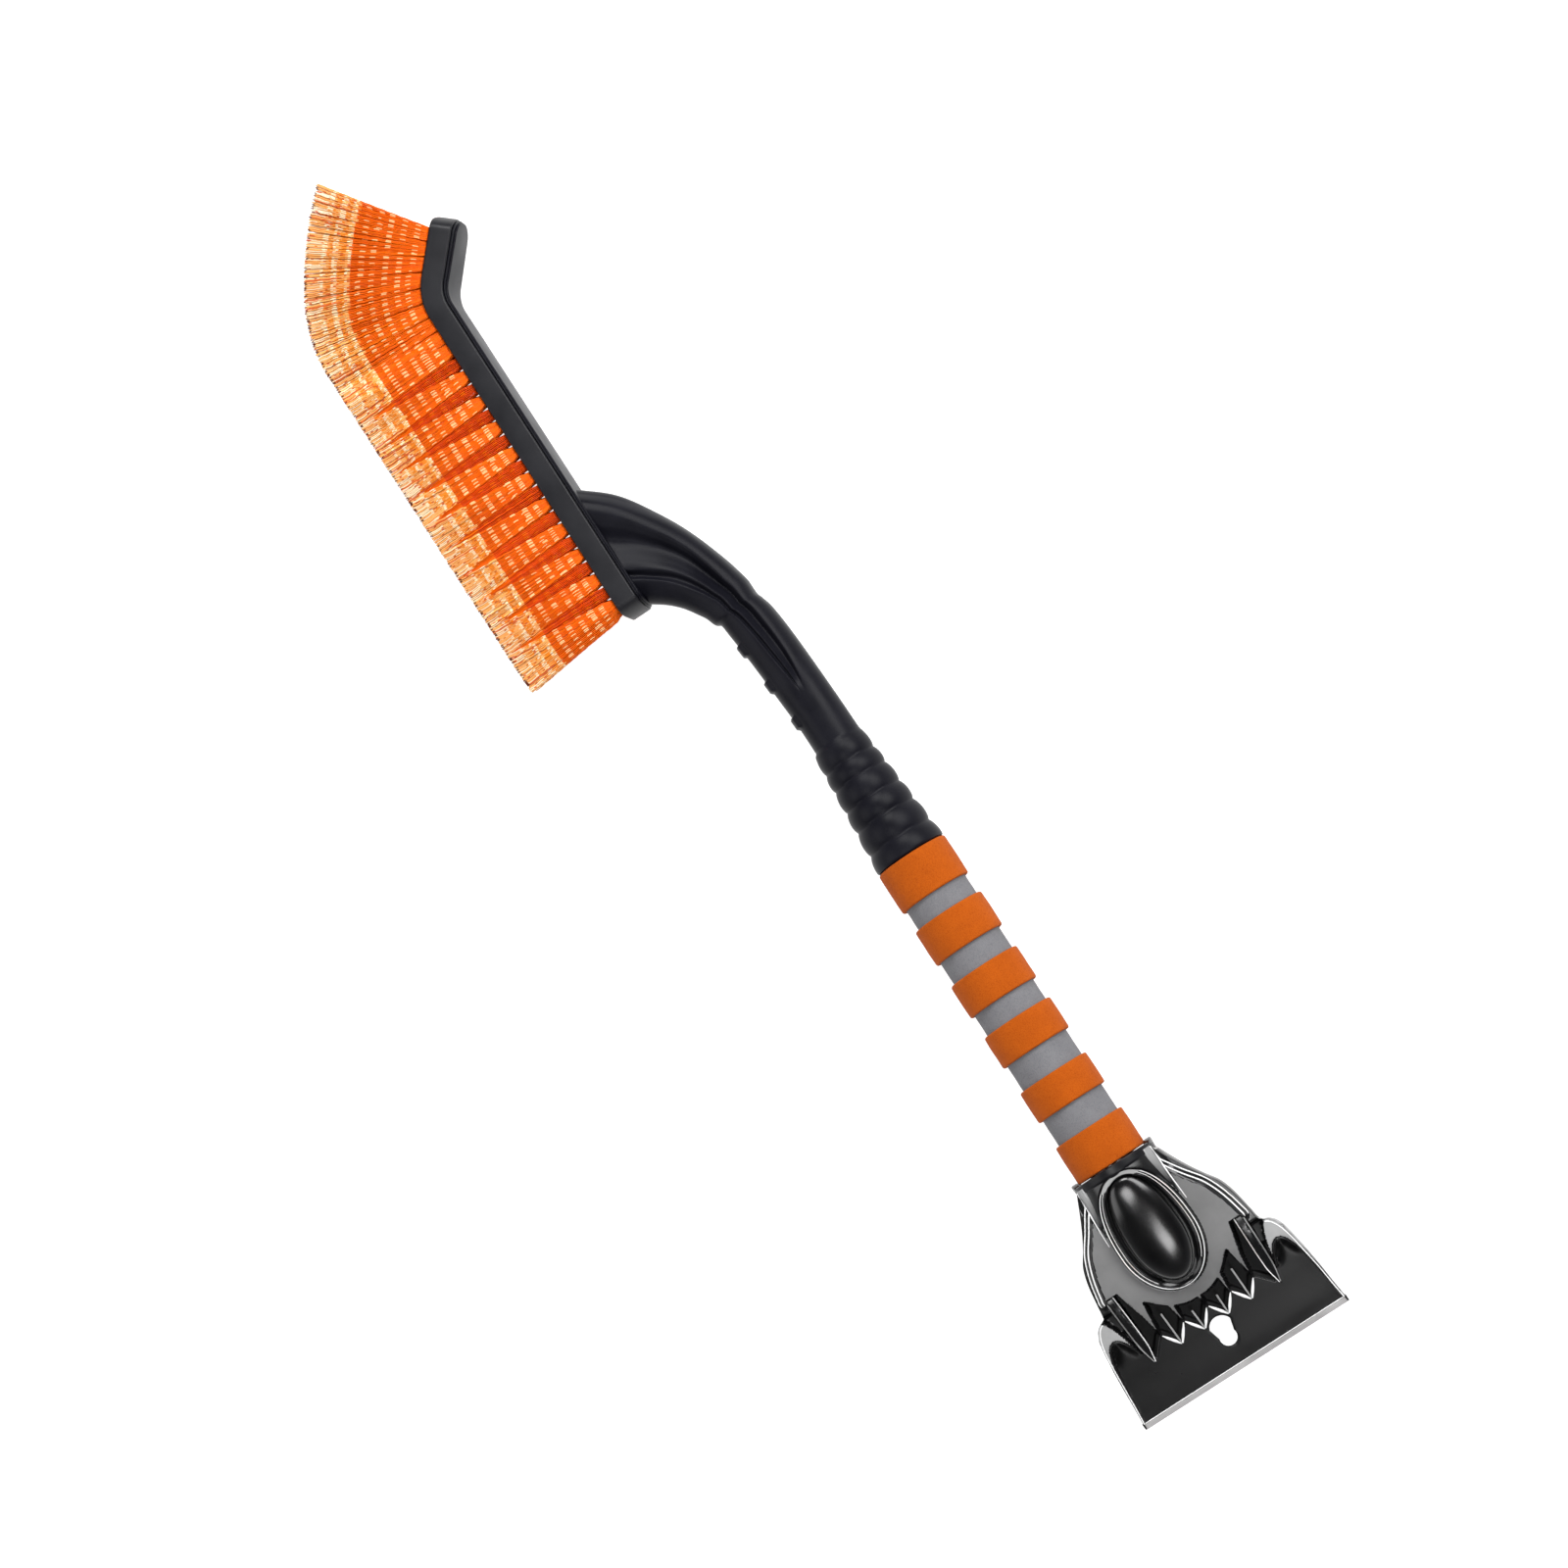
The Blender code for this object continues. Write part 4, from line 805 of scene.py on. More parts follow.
# Thumb rest: a low polished dome
base = egg(50.7, 103.7, 13.1, 0.42, 128)
rings = []
for inset, height in ((0.9, 0.0), (0.35, 0.05), (0.0, 0.4), (0.0, 2.0), (0.15, 2.5)):
    rings.append(np.column_stack([74.0 + (base[:, 0] - 74.0) * (1 - inset / 26.0), base[:, 1] * (1 - inset / 13.1), level(FLOOR_LINE, base[:, 0]) + 0.3 + height]))
for share in np.sin(np.linspace(0.98, 0.012, 44) * math.pi / 2):
    px, py = 74.0 + (base[:, 0] - 74.0) * share, base[:, 1] * share
    rings.append(np.column_stack([px, py, level(FLOOR_LINE, px) + 0.3 + 2.6 + 5.0 * math.sqrt(1 - share * share)]))
rings = np.array(rings)
rings[..., 0] = 3.9 + 0.979 * rings[..., 0]
dome_look = skin("thumb_dome", rings, [DOME], sharp=60)
put(dome_look, "handle", ["thumb_rest"])

# Cutting edge strip: a bevelled bar
outline = rounded([(0.02, -18.85), (2.45, -17.5), (2.6, -17.75), (2.6, -20.0), (0.02, -20.0)], [0.12, 0.12, 0.1, 0.15, 0.1], 4)
rings = []
for y, shrink in [(-53.9, 0.9), (-53.78, 1.0)] + [(v, 1.0) for v in np.linspace(-53.0, 53.0, 54)] + [(53.78, 1.0), (53.9, 0.9)]:
    mid = outline.mean(0)
    o = mid + (outline - mid) * shrink
    rings.append(np.stack([3.9 + 0.979 * o[:, 0], np.full(len(o), y), o[:, 1]], -1))
strip_look = skin("edge_strip_bar", rings, [EDGE], sharp=30)
put(strip_look, "handle", ["edge_strip"])

# ================================================================ brush arm
RIB_VALLEYS = (276.6, 288.7, 300.7, 311.1, 321.9, 330.7, 341.0)
HALF_COLUMNS = 110
AROUND = 2 * HALF_COLUMNS


def rib_radius(x):
    share = (x - 279.4) / (341.0 - 279.4)
    crest = 17.8 + (12.9 - 17.8) * share
    depth = 1.7 + (1.15 - 1.7) * share
    for a, b in zip(RIB_VALLEYS, RIB_VALLEYS[1:]):
        if a <= x <= b:
            return crest - depth * (1.0 - math.sin(math.pi * (x - a) / (b - a)) ** 0.6)
    return crest - depth


LEFT = [(341.2, 11.2), (345.0, 11.2), (352.0, 11.2), (374.0, 12.2), (396.0, 13.6), (410.0, 14.9), (415.6, 15.5), (417.4, 17.7), (422.0, 19.5), (426.0, 21.8), (431.8, 25.6), (436.6, 29.9), (439.9, 33.8), (441.9, 36.6), (443.3, 38.6)]
RIGHT = [(341.2, -12.1), (345.0, -12.0), (352.0, -11.9), (373.0, -11.3), (394.0, -10.4), (411.0, -8.8), (416.5, -7.3), (420.0, -6.25), (425.5, -6.2), (434.0, -4.6), (448.5, -0.3), (463.0, 5.2), (477.0, 12.4), (493.2, 22.8), (507.4, 38.4)]
HALF = [11.8, 11.75, 11.6, 11.3, 11.0, 11.0, 11.0, 11.0, 11.1, 11.2, 11.4, 11.8, 12.3, 12.9, 13.4]

# Lines of the flutes on the flat side of the arm, as seen from above
RIDGE_1 = [(368, 1.0), (373, 1.1), (388, 3.2), (398, 4.1), (408, 5.5), (418, 7.9), (428, 11.9), (438, 18.9), (448, 27.9), (455, 38.6)]
GROOVE_1 = [(368, 0.6), (373, 0.4), (388, 1.9), (398, 2.9), (408, 4.4), (418, 6.9), (428, 10.4), (443, 18.9), (453, 30.9), (458.5, 38.6)]
RIDGE_2 = [(368, 0.2), (376, -0.2), (388, 0.7), (398, 1.7), (408, 3.2), (418, 5.2), (428, 8.4), (443, 15.9), (453, 25.9), (461, 38.6)]
GROOVE_2 = [(368, -1.2), (374, -2.0), (388, -2.1), (398, -1.4), (408, -0.1), (418, 1.4), (428, 3.9), (438, 7.4), (448, 10.9), (458, 16.9), (468, 25.9), (477.5, 38.6)]
TENDON = [(368, -2.4), (373, -3.1), (388, -4.4), (398, -4.1), (408, -3.1), (418, -1.6), (428, 0.9), (448, 5.9), (458, 9.9), (468, 15.9), (478, 22.9), (488, 30.9), (495.5, 38.6)]


def crossing(line, left, right):
    """Distance from right towards left at which a flute line crosses the section, or None."""
    line = np.asarray(line, float)
    xs = np.linspace(line[0, 0], line[-1, 0], 400)
    pts = np.stack([xs, pchip(line[:, 0], line[:, 1], xs)], -1)
    d = left - right
    length = np.linalg.norm(d)
    d = d / length
    n = np.array((-d[1], d[0]))
    side = (pts - right) @ n
    hit = np.where(side[:-1] * side[1:] <= 0)[0]
    if len(hit) == 0:
        return None
    i = hit[0]
    t = side[i] / (side[i] - side[i + 1] + 1e-12)
    p = pts[i] + (pts[i + 1] - pts[i]) * t
    return float((p - right) @ d)


arm_rings = []
even = np.arange(HALF_COLUMNS + 1) * math.pi / HALF_COLUMNS
even = even + 0.2 * np.sin(2 * even)  # closer together on the two broad sides


def whole_turn(half_turn):
    """The same columns on the far side of the section."""
    return np.concatenate([half_turn, math.tau - half_turn[-2:0:-1]])


angles = whole_turn(even)
cosine, sine = np.cos(angles), np.sin(angles)
for x in np.concatenate([np.arange(279.4, 341.01, 0.6)]):
    r = rib_radius(x)
    if x < 280.2:
        r -= (280.2 - x) ** 2 * 0.9
    if x > 338.5:
        r += (x - 338.5) / 2.5 * 0.25
    wide = 1.0
    arm_rings.append(np.stack([np.full(AROUND, x), r * cosine * wide, r * sine], -1))

steps = np.linspace(0, len(LEFT) - 1, len(LEFT))
spans = np.maximum(np.hypot(*np.diff(np.array(LEFT), axis=0).T), np.hypot(*np.diff(np.array(RIGHT), axis=0).T))
along = np.concatenate([[0], np.cumsum(spans)])
fine = np.linspace(0, along[-1], 281)[1:]
lx, ly = pchip(along, [p[0] for p in LEFT], fine), pchip(along, [p[1] for p in LEFT], fine)
rx, ry = pchip(along, [p[0] for p in RIGHT], fine), pchip(along, [p[1] for p in RIGHT], fine)
hz = pchip(along, HALF, fine)
PADS = ((358.5, 3.4), (379.2, 3.4), (400.0, 3.4))


def flute_table():
    """Where each flute line crosses each section, smoothed along the arm."""
    table = np.full((len(fine), 5), np.nan)
    for k in range(len(fine)):
        left, right = np.array((lx[k], ly[k])), np.array((rx[k], ry[k]))
        hits = [crossing(c, left, right) for c in (TENDON, GROOVE_2, RIDGE_2, GROOVE_1, RIDGE_1)]
        if None not in hits:
            table[k] = hits
    known = np.where(~np.isnan(table[:, 0]))[0]
    for c in range(5):
        column = np.interp(np.arange(len(fine)), known, table[known, c])
        padded = np.concatenate([np.full(24, column[0]), column, np.full(24, column[-1])])
        weight = np.exp(-0.5 * (np.arange(-24, 25) / 7.0) ** 2)
        table[:, c] = np.convolve(padded, weight / weight.sum(), "valid")
    return table, known[0], known[-1]


flutes, flute_first, flute_last = flute_table()
# how many columns lie between one knot of the flutes and the next, from the right edge to the left
SHARES = (12, 7, 8, 8, 10, 10, 6, 3, 8, 8, 10, 20)


def flute_knots(k, width):
    t, g2, r2, g1, r1 = (min(max(q, 0.0), width) for q in flutes[k])
    g2 = max(g2, t + 0.5)
    r2 = max(r2, g2 + 0.7)
    g1 = max(g1, r2 + 0.35)
    r1 = max(r1, g1 + 0.35)
    return [t - 9.0, t - 4.0, t, t + (g2 - t) * 0.45, g2, g2 + (r2 - g2) * 0.55, r2 - 0.12 * (r2 - g2), r2, g1, r1, r1 + 4.5]


for k in range(len(fine)):
    left, right, half = np.array((lx[k], ly[k])), np.array((rx[k], ry[k])), hz[k]
    middle, arm = (left + right) / 2, (left - right) / 2
    width = np.linalg.norm(left - right)
    power = 2.0 + 0.45 * min(1.0, max(0.0, (left[0] - 341.0) / 50.0))
    knots = flute_knots(k, width)
    stops = [0.0]
    for n, q in enumerate(knots):
        stops.append(min(max(q, stops[-1] + 0.25), width - 0.25 * (len(knots) - n)))
    stops.append(width)
    c = np.array(stops) / width * 2 - 1
    bearing = np.arccos(np.clip(np.sign(c) * np.abs(c) ** (power / 2), -1, 1))
    laid = np.concatenate([np.linspace(a, b, n + 1)[:-1] for a, b, n in zip(bearing, bearing[1:], SHARES)] + [[0.0]])[::-1]
    follow = float(ease((middle[0] - 344.0) / 24.0))
    turn = whole_turn(even + (laid - even) * follow)
    cosine, sine = np.cos(turn), np.sin(turn)
    u = np.sign(cosine) * np.abs(cosine) ** (2 / power)
    v = np.sign(sine) * np.abs(sine) ** (2 / power)
    d = (u + 1) / 2 * width  # distance from the right edge
    across = middle[None, :] + arm[None, :] * u[:, None]
    z = half * v
    if flute_first <= k <= flute_last:
        grow = float(ease((middle[0] - 367.5) / 13.0))
        deep = float(ease((middle[0] - 380.0) / 60.0))
        heights = [0.0, 0.40 + 1.7 * deep, 0.90 + 0.9 * deep, -0.3, -(1.7 + 1.9 * deep), -(0.8 + 0.8 * deep), -0.05, 0.30, -(0.85 + 0.8 * deep), 0.5, 0.0]
        ks, hs = [], []
        for a, b in zip(knots, heights):
            if not ks or a > ks[-1] + 0.05:
                ks.append(a)
                hs.append(b)
        lift = np.where((d > ks[0]) & (d < ks[-1]), pchip(ks, hs, np.clip(d, ks[0], ks[-1])), 0.0) * grow
        lift *= ease(np.abs(v) / 0.55)
        z = z + np.sign(v) * lift
    for px, half_length in PADS:
        where = float(ease((half_length - abs(left[0] - px)) / 0.9))
        if where > 0:
            on = where * ease((u - 0.30) / 0.28) * ease((8.0 - np.abs(z)) / 1.2)
            across = across + np.outer(on * 1.35, (arm / np.linalg.norm(arm)))
    arm_rings.append(np.column_stack([across, z]))
arm_look = skin("arm_moulding", arm_rings, [MATT], sharp=60)

# ================================================================ head
HEAD_X0, BACK_Y, SEAM_Y, FACE_Y = 441.5, 37.7, 39.5, 50.1
BEND_X, BEND_R, BEND = 609.1, 28.0, math.radians(42.0)
TIP_RUN = 30.4
STRAIGHT = BEND_X - HEAD_X0
HEAD_LENGTH = STRAIGHT + BEND_R * BEND + TIP_RUN


def head_point(s, out):
    """Points (x, y) of the head at arc length s along the bristle face, out from it, and the outward normal's angle."""
    s, out = np.broadcast_arrays(np.asarray(s, float), np.asarray(out, float))
    a = np.clip((s - STRAIGHT) / BEND_R, 0, BEND)
    run = np.maximum(0.0, s - STRAIGHT - BEND_R * BEND)
    x = np.where(s <= STRAIGHT, HEAD_X0 + s, BEND_X + (BEND_R + out) * np.sin(a) + run * math.cos(BEND))
    y = np.where(s <= STRAIGHT, FACE_Y + out, FACE_Y - BEND_R + (BEND_R + out) * np.cos(a) - run * math.sin(BEND))
    return x, y, np.where(s <= STRAIGHT, 0.0, a)


def head_slab(half, tip_half, inner, outer, inset, end_run, corner_low, corner_high, round_low, round_high, bulge=None):
    """Rings of a slab that follows the head. Ends are round in plan and softened in side view."""
    t = np.linspace(0, math.pi / 2, 22)
    head = inset + end_run * (1 - np.cos(t))
    tail = HEAD_LENGTH - inset - end_run * (1 - np.cos(t))[::-1]
    middle = np.concatenate([np.linspace(head[-1], STRAIGHT, 60)[1:], STRAIGHT + np.linspace(0, BEND_R * BEND, 36)[1:], np.linspace(STRAIGHT + BEND_R * BEND, tail[0], 16)[1:-1]])
    rings = []
    for s in np.concatenate([head, middle, tail]):
        near = max(0.0, min(s - inset, HEAD_LENGTH - inset - s))
        width = half + (tip_half - half) * max(0.0, (s - 150.0) / (HEAD_LENGTH - 150.0))
        if near < end_run:
            width = 0.8 + (width - 0.8) * math.sqrt(max(0.0, 1 - (1 - near / end_run) ** 2))
        lo, hi = inner, outer
        if near < round_low:
            lo = inner + round_low - math.sqrt(max(0.0, round_low**2 - (round_low - near) ** 2))
        if near < round_high:
            hi = outer - round_high + math.sqrt(max(0.0, round_high**2 - (round_high - near) ** 2))
        lo, hi = min(lo, (inner + outer) / 2), max(hi, (inner + outer) / 2 + 0.01)
        cl = min(corner_low, width * 0.9, (hi - lo) * 0.45)
        ch = min(corner_high, width * 0.9, (hi - lo) * 0.45)
        outline = rounded([(lo, -width), (hi, -width), (hi, width), (lo, width)], [cl, ch, ch, cl], 6)
        q, z = outline[:, 0], outline[:, 1]
        if bulge:
            q = q - bulge * np.where(q < lo + 0.5, 1 - (z / max(width, 0.1)) ** 2, 0.0)
        x, y, _ = head_point(s, q)
        rings.append(np.column_stack([x, y, z]))
    return rings


block_look = skin("block_moulding", head_slab(16.0, 15.0, SEAM_Y - FACE_Y, 0.0, 0.0, 7.0, 0.9, 0.9, 1.2, 3.0), [BLOCK], sharp=50)
put(block_look, "brush", ["bristle_block"])
# The bead between the two seams, and the back cover, belong to the arm's moulding
bead = head_slab(15.3, 13.6, SEAM_Y - 0.95 - FACE_Y, SEAM_Y - 0.25 - FACE_Y, 0.7, 7.0, 0.32, 0.32, 0.2, 0.2)
back = head_slab(14.2, 11.0, BACK_Y - 0.25 - FACE_Y, SEAM_Y - 0.6 - FACE_Y, 1.3, 7.0, 0.5, 0.2, 0.3, 0.1)
bead_look = skin("bead_moulding", bead, [MATT], sharp=50)
back_look = skin("back_moulding", back, [MATT], sharp=50)
bpy.ops.object.select_all(action="DESELECT")
for part in (arm_look, bead_look, back_look):
    part.select_set(True)
bpy.context.view_layer.objects.active = arm_look
bpy.ops.object.join()
put(arm_look, "brush", ["brush_arm"])

# ================================================================ bristles
DEEP = [filament(f"bristle_deep_{i}", c, spec=0.13) for i, c in enumerate([(0.745, 0.108, 0.0005), (0.77, 0.124, 0.0006), (0.72, 0.096, 0.0005)])]
# darker red-orange for the set-back tufts between the bright ones: painted shade
TUFT_PAINTED_SHADE = [filament(f"bristle_painted_shade_{i}", c, spec=0.13) for i, c in enumerate([(0.69, 0.064, 0.001), (0.63, 0.053, 0.001)])]
PALE = [filament(f"bristle_pale_{i}", c, 0.32) for i, c in enumerate([(0.93, 0.72, 0.46), (0.89, 0.41, 0.115), (0.86, 0.245, 0.015)])]
# peach dashes at the crimp crests: painted highlights
PAINTED_GLINT = filament("bristle_painted_glint", (0.93, 0.50, 0.22), 0.28)
RUST = filament("bristle_rust", (0.62, 0.105, 0.018), 0.45)
ENDS = filament("bristle_ends", (0.16, 0.035, 0.012), 0.6)
BRISTLES = DEEP + TUFT_PAINTED_SHADE + PALE + [PAINTED_GLINT, ENDS, RUST]
N_DEEP, N_TUFT_PAINTED_SHADE, N_PALE, N_PAINTED_GLINT, N_ENDS, N_RUST = 0, 3, 5, 8, 9, 10

ROOT_S0, ROOT_S1 = 1.5, HEAD_LENGTH - 6.4
FAN_S0, FAN_S1 = 16.0, 162.0
BRISTLE_LENGTH = 54.2
EYE = np.array((100.0, -180.47, 1930.0))


def bristle_lean(s):
    s = np.asarray(s, float)
    early = -math.radians(6.5) * np.clip(1 - (s - ROOT_S0) / (FAN_S0 - ROOT_S0), 0, 1) ** 1.5
    late = math.radians(54.4) * (np.maximum(0.0, s - FAN_S1) / (ROOT_S1 - FAN_S1)) ** 1.15
    return np.where(s < FAN_S0, early, late)


def bristle_reach(s):
    return BRISTLE_LENGTH + 2.6 * np.maximum(0.0, np.asarray(s, float) - FAN_S1) / (ROOT_S1 - FAN_S1)


PITCH = 7.1
FIRST = 451.45 - HEAD_X0 - 1.85  # arc length of the first tuft's centre
SEGMENTS = 44


def bristle_tufts(root_z, columns, layers, seed):
    """Root and tip of each hair of one row, column by column, with its tuft and column."""
    rng = np.random.default_rng(seed)
    out = []
    centres = []
    for k in range(-2, 30):
        s = FIRST + PITCH * k
        px, py, a = (float(v) for v in head_point(s, 0.0))
        # lower rows are set over a little, so the tufts stand behind one another
        s += ((px - EYE[0]) * math.cos(a) - (py - EYE[1]) * math.sin(a)) * (12.0 - root_z) / (EYE[2] - 12.0)
        s += 1.4 * float(ease((s - 150.0) / 56.0))
        if k >= 0 and s < ROOT_S1 + 0.2:
            centres.append((s, k))
    for s, k in centres:
        late = s > 154.0
        # every second tuft of the straight part is set back, narrower, and coloured with painted shade
        set_back_shaded = k % 2 == 1 and k > 0 and not late
        # neighbours' hairs meet at the tips: a wide fan takes the room that a narrow one leaves
        wide = columns + 4 if late else (columns - 4 if set_back_shaded else columns + 6)
        wide += 5 if k == 0 else 0
        for layer in range(layers):
            v = (layer + 0.5) / layers * 2 - 1
            for c in range(wide):
                u = (c + 0.5 + 0.5 * (layer % 2) - 0.25) / wide * 2 - 1
                at_root = u * (3.45 if late else 3.3) * (1 - 0.08 * v * v)
                if k == 0 and u < 0:
                    at_root *= 2.0
                if late:
                    at_tip = u * 3.9
                elif set_back_shaded:
                    at_tip = u * (1.8 if v > -0.5 else 3.2)
                else:
                    at_tip = u * 7.2
                rs = np.clip(s + at_root + rng.normal(0, 0.05), ROOT_S0, ROOT_S1)
                ts = np.clip(s + at_tip + rng.normal(0, 0.10), ROOT_S0, ROOT_S1)
                drop = (0.9 + 0.5 * abs(v)) if set_back_shaded else 0.0
                # columns that carry the painted glint dashes
                glint_place = {1: 1, 2: 2}.get(c % (4 if late else 3), 0)
                out.append((rs, ts, v, drop, 1 if set_back_shaded else 0, glint_place, k, rs - s))
    return np.array(out)


def bristle_row(name, root_z, tip_z, node_name, seed, columns, layers, low, high):
    rng = np.random.default_rng(seed)
    hairs = bristle_tufts(root_z, columns, layers, seed)
    hairs = hairs[(hairs[:, 6] >= low) & (hairs[:, 6] < high)]
    rs, ts, v, drop, set_back_shaded, glint_place, tuft, off_centre = hairs.T
    n = len(hairs)
    root_x, root_y, _ = head_point(rs, 0.1)
    tip_bx, tip_by, _ = head_point(ts, 0.0)
    lean = bristle_lean(ts)
    reach = bristle_reach(ts) + rng.uniform(-0.40, 0.15, n)
    sink = drop if root_z > -10 else 0.0 * drop
    # the outer rows close in where the block's end is round
    room = 0.8 + 15.2 * np.sqrt(1 - (1 - np.minimum(rs, 7.0) / 7.0) ** 2) - 1.7
    roots = np.column_stack([root_x, root_y, np.clip(root_z + v * 2.35 - sink * 0.3, -room, room)])
    tips = np.column_stack([tip_bx + np.sin(lean) * reach, tip_by + np.cos(lean) * reach, tip_z + v * 2.6 - sink + rng.normal(0, 0.08, n)])
    tips[:, 2] = np.maximum(tips[:, 2], -19.6)
    # the hairs leave the block straight and spread after that
    straight = (tips - roots) * 1.0
    lead_x, lead_y, lead_a = head_point(rs, 0.1)
    ahead = np.column_stack([np.sin(lead_a), np.cos(lead_a), np.zeros(n)])
    stations = np.linspace(0, 1, SEGMENTS + 1)
    run = (straight * ahead).sum(1)[:, None]
    spread = straight - ahead * run
    path = roots[:, None, :] + ahead[:, None, :] * run[:, None, :] * stations[None, :, None] + spread[:, None, :] * (stations**1.04)[None, :, None]
    length = np.linalg.norm(tips - roots, axis=1)[:, None]
    y = stations[None, :] * length
    phase = rng.normal(0, 0.10, n)[:, None]
    swell = ease(y / 3.5)
    wave = np.cos((y - 5.7) * math.tau / 6.0 + phase)
    across = tips - roots
    across = np.stack([across[:, 1], -across[:, 0], np.zeros(n)], -1)
    across /= np.linalg.norm(across, axis=1)[:, None]
    gather = np.where(rs > 150.0, 0.05, 0.24)[:, None] * (1 - ease(y / (4.6 + 4.0 * (12.0 - root_z) / 24.0)))
    tangent = np.column_stack([np.cos(lead_a), -np.sin(lead_a), np.zeros(n)])
    path -= tangent[:, None, :] * (off_centre[:, None] * gather)[..., None]
    path[..., 2] += 0.22 * wave * swell
    path += across[:, None, :] * (0.07 * wave * swell)[..., None]
    path[..., 2] = np.maximum(path[..., 2], -19.7)
    forward = np.gradient(path, axis=1)
    forward /= np.linalg.norm(forward, axis=2)[..., None]
    side = np.broadcast_to(across[:, None, :], forward.shape)
    up = np.cross(side, forward)
    radius = rng.uniform(0.27, 0.32, n)[:, None, None]
    turn = rng.uniform(0, math.tau, n)[:, None]
    corners = [path + radius * (np.cos(turn + c * math.tau / 3)[..., None] * side + np.sin(turn + c * math.tau / 3)[..., None] * up) for c in range(3)]
    points = np.stack(corners, 2)
    m = SEGMENTS + 1
    base = (np.arange(n) * m * 3)[:, None, None]
    i = np.arange(SEGMENTS)[None, :, None]
    j = np.arange(3)[None, None, :]
    k2 = (j + 1) % 3
    quads = np.stack([base + i * 3 + j, base + i * 3 + k2, base + (i + 1) * 3 + k2, base + (i + 1) * 3 + j], -1)
    # dye and wear along each hair, with painted highlights at the crimp crests and painted shade on the set-back tufts
    mid = (stations[:-1] + stations[1:])[None, :] / 2 * length
    pick = rng.integers(0, 1000, n)[:, None]
    boundary = 34.6 + rng.normal(0, 0.30, n)[:, None] + 0.5 * np.sin(tuft * 2.4)[:, None]
    deep = np.where(set_back_shaded[:, None] == 1, N_TUFT_PAINTED_SHADE + pick % 2, N_DEEP + (pick % 4) % 3)
    from_crest = np.abs((mid - 5.7 + 3.0) % 6.0 - 3.0)
    flicker = rng.random((n, SEGMENTS))
    crest_number = np.round((mid - 5.7) / 6.0).astype(int)
    # painted highlights: crest segments of the chosen columns take the glint colour, and on the set-back tufts the
    # bright deep orange
    glint_dash_painted = (from_crest < 1.25) & (mid > 1.0) & ((glint_place[:, None] == 1) & ((pick + 7 * crest_number) % 20 < 17) | (glint_place[:, None] == 2) & ((pick + crest_number) % 3 == 0))
    zone = np.where(glint_dash_painted, np.where(set_back_shaded[:, None] == 1, N_DEEP, N_PAINTED_GLINT), deep)
    # in the pale zone the crimp crests take the lighter creams: a painted highlight on each crest
    crest_cream_painted = from_crest < 1.3
    mood = (pick + 3 * np.floor(mid / 3.0).astype(int)) % 10
    outer = np.where(crest_cream_painted, np.where(mood < np.where(mid < 38.0, 3, 6), N_PALE, N_PALE + 1), np.where(mood < np.where(mid < 43.0, 6, 3), N_PALE + 2, N_PALE + 1))
    outer = np.where(mid > 48.5, np.where((pick // 10) % 10 < 4, N_PALE, N_PALE + 1), outer)
    outer = np.where((pick % 100 < 7) & (mid > 38.0), N_RUST, outer)
    outer = np.where(flicker < 0.05, N_RUST, outer)
    # the painted shade of the set-back tufts runs on into the pale zone as a deep orange streak
    shade_streak = (set_back_shaded[:, None] == 1) & (mid < 44.0 + (pick % 90) / 10.0)
    outer = np.where(shade_streak, N_DEEP + pick % 3, outer)
    zone = np.where(mid < boundary, zone, outer)
    zone = np.where((mid > length - 1.3) & (pick % 5 < 2), N_ENDS, zone)
    zone = np.repeat(zone[:, :, None], 3, 2)
    first = base[:, 0, 0]
    caps_root = np.stack([first, first + 1, first + 2], -1)
    caps_tip = np.stack([first + (m - 1) * 3 + 2, first + (m - 1) * 3 + 1, first + (m - 1) * 3], -1)
    groups = [(quads.reshape(-1, 4)[:, ::-1], zone.ravel()), (caps_root, N_DEEP), (caps_tip, N_ENDS)]
    made = mesh_object(name, points.reshape(-1, 3), groups, BRISTLES, outward=False)
    return put(made, "brush", [node_name])


for index, (root_z, tip_z, columns, layers) in enumerate(((-12.0, -17.0, 12, 4), (-4.0, -5.7, 9, 3), (4.0, 5.7, 9, 3), (12.0, 17.0, 12, 4)), 1):
    for part, (name, low, high) in enumerate((("heel", 0, 9), ("middle", 9, 19), ("toe", 19, 99)), 1):
        bristle_row(f"bristles_{index}_{name}", root_z, tip_z, f"bristle_row_{index}", 100 * part + index, columns, layers, low, high)

# ================================================================ coupling and screws
turned("collar_washer_look", [(209.0, 2.0), (209.0, 11.7), (212.7, 11.7), (212.7, 2.0)], [0.3, 0.8, 0.3, 0.3], SPIGOT, "brush", "collar_washer", "spigot_black")


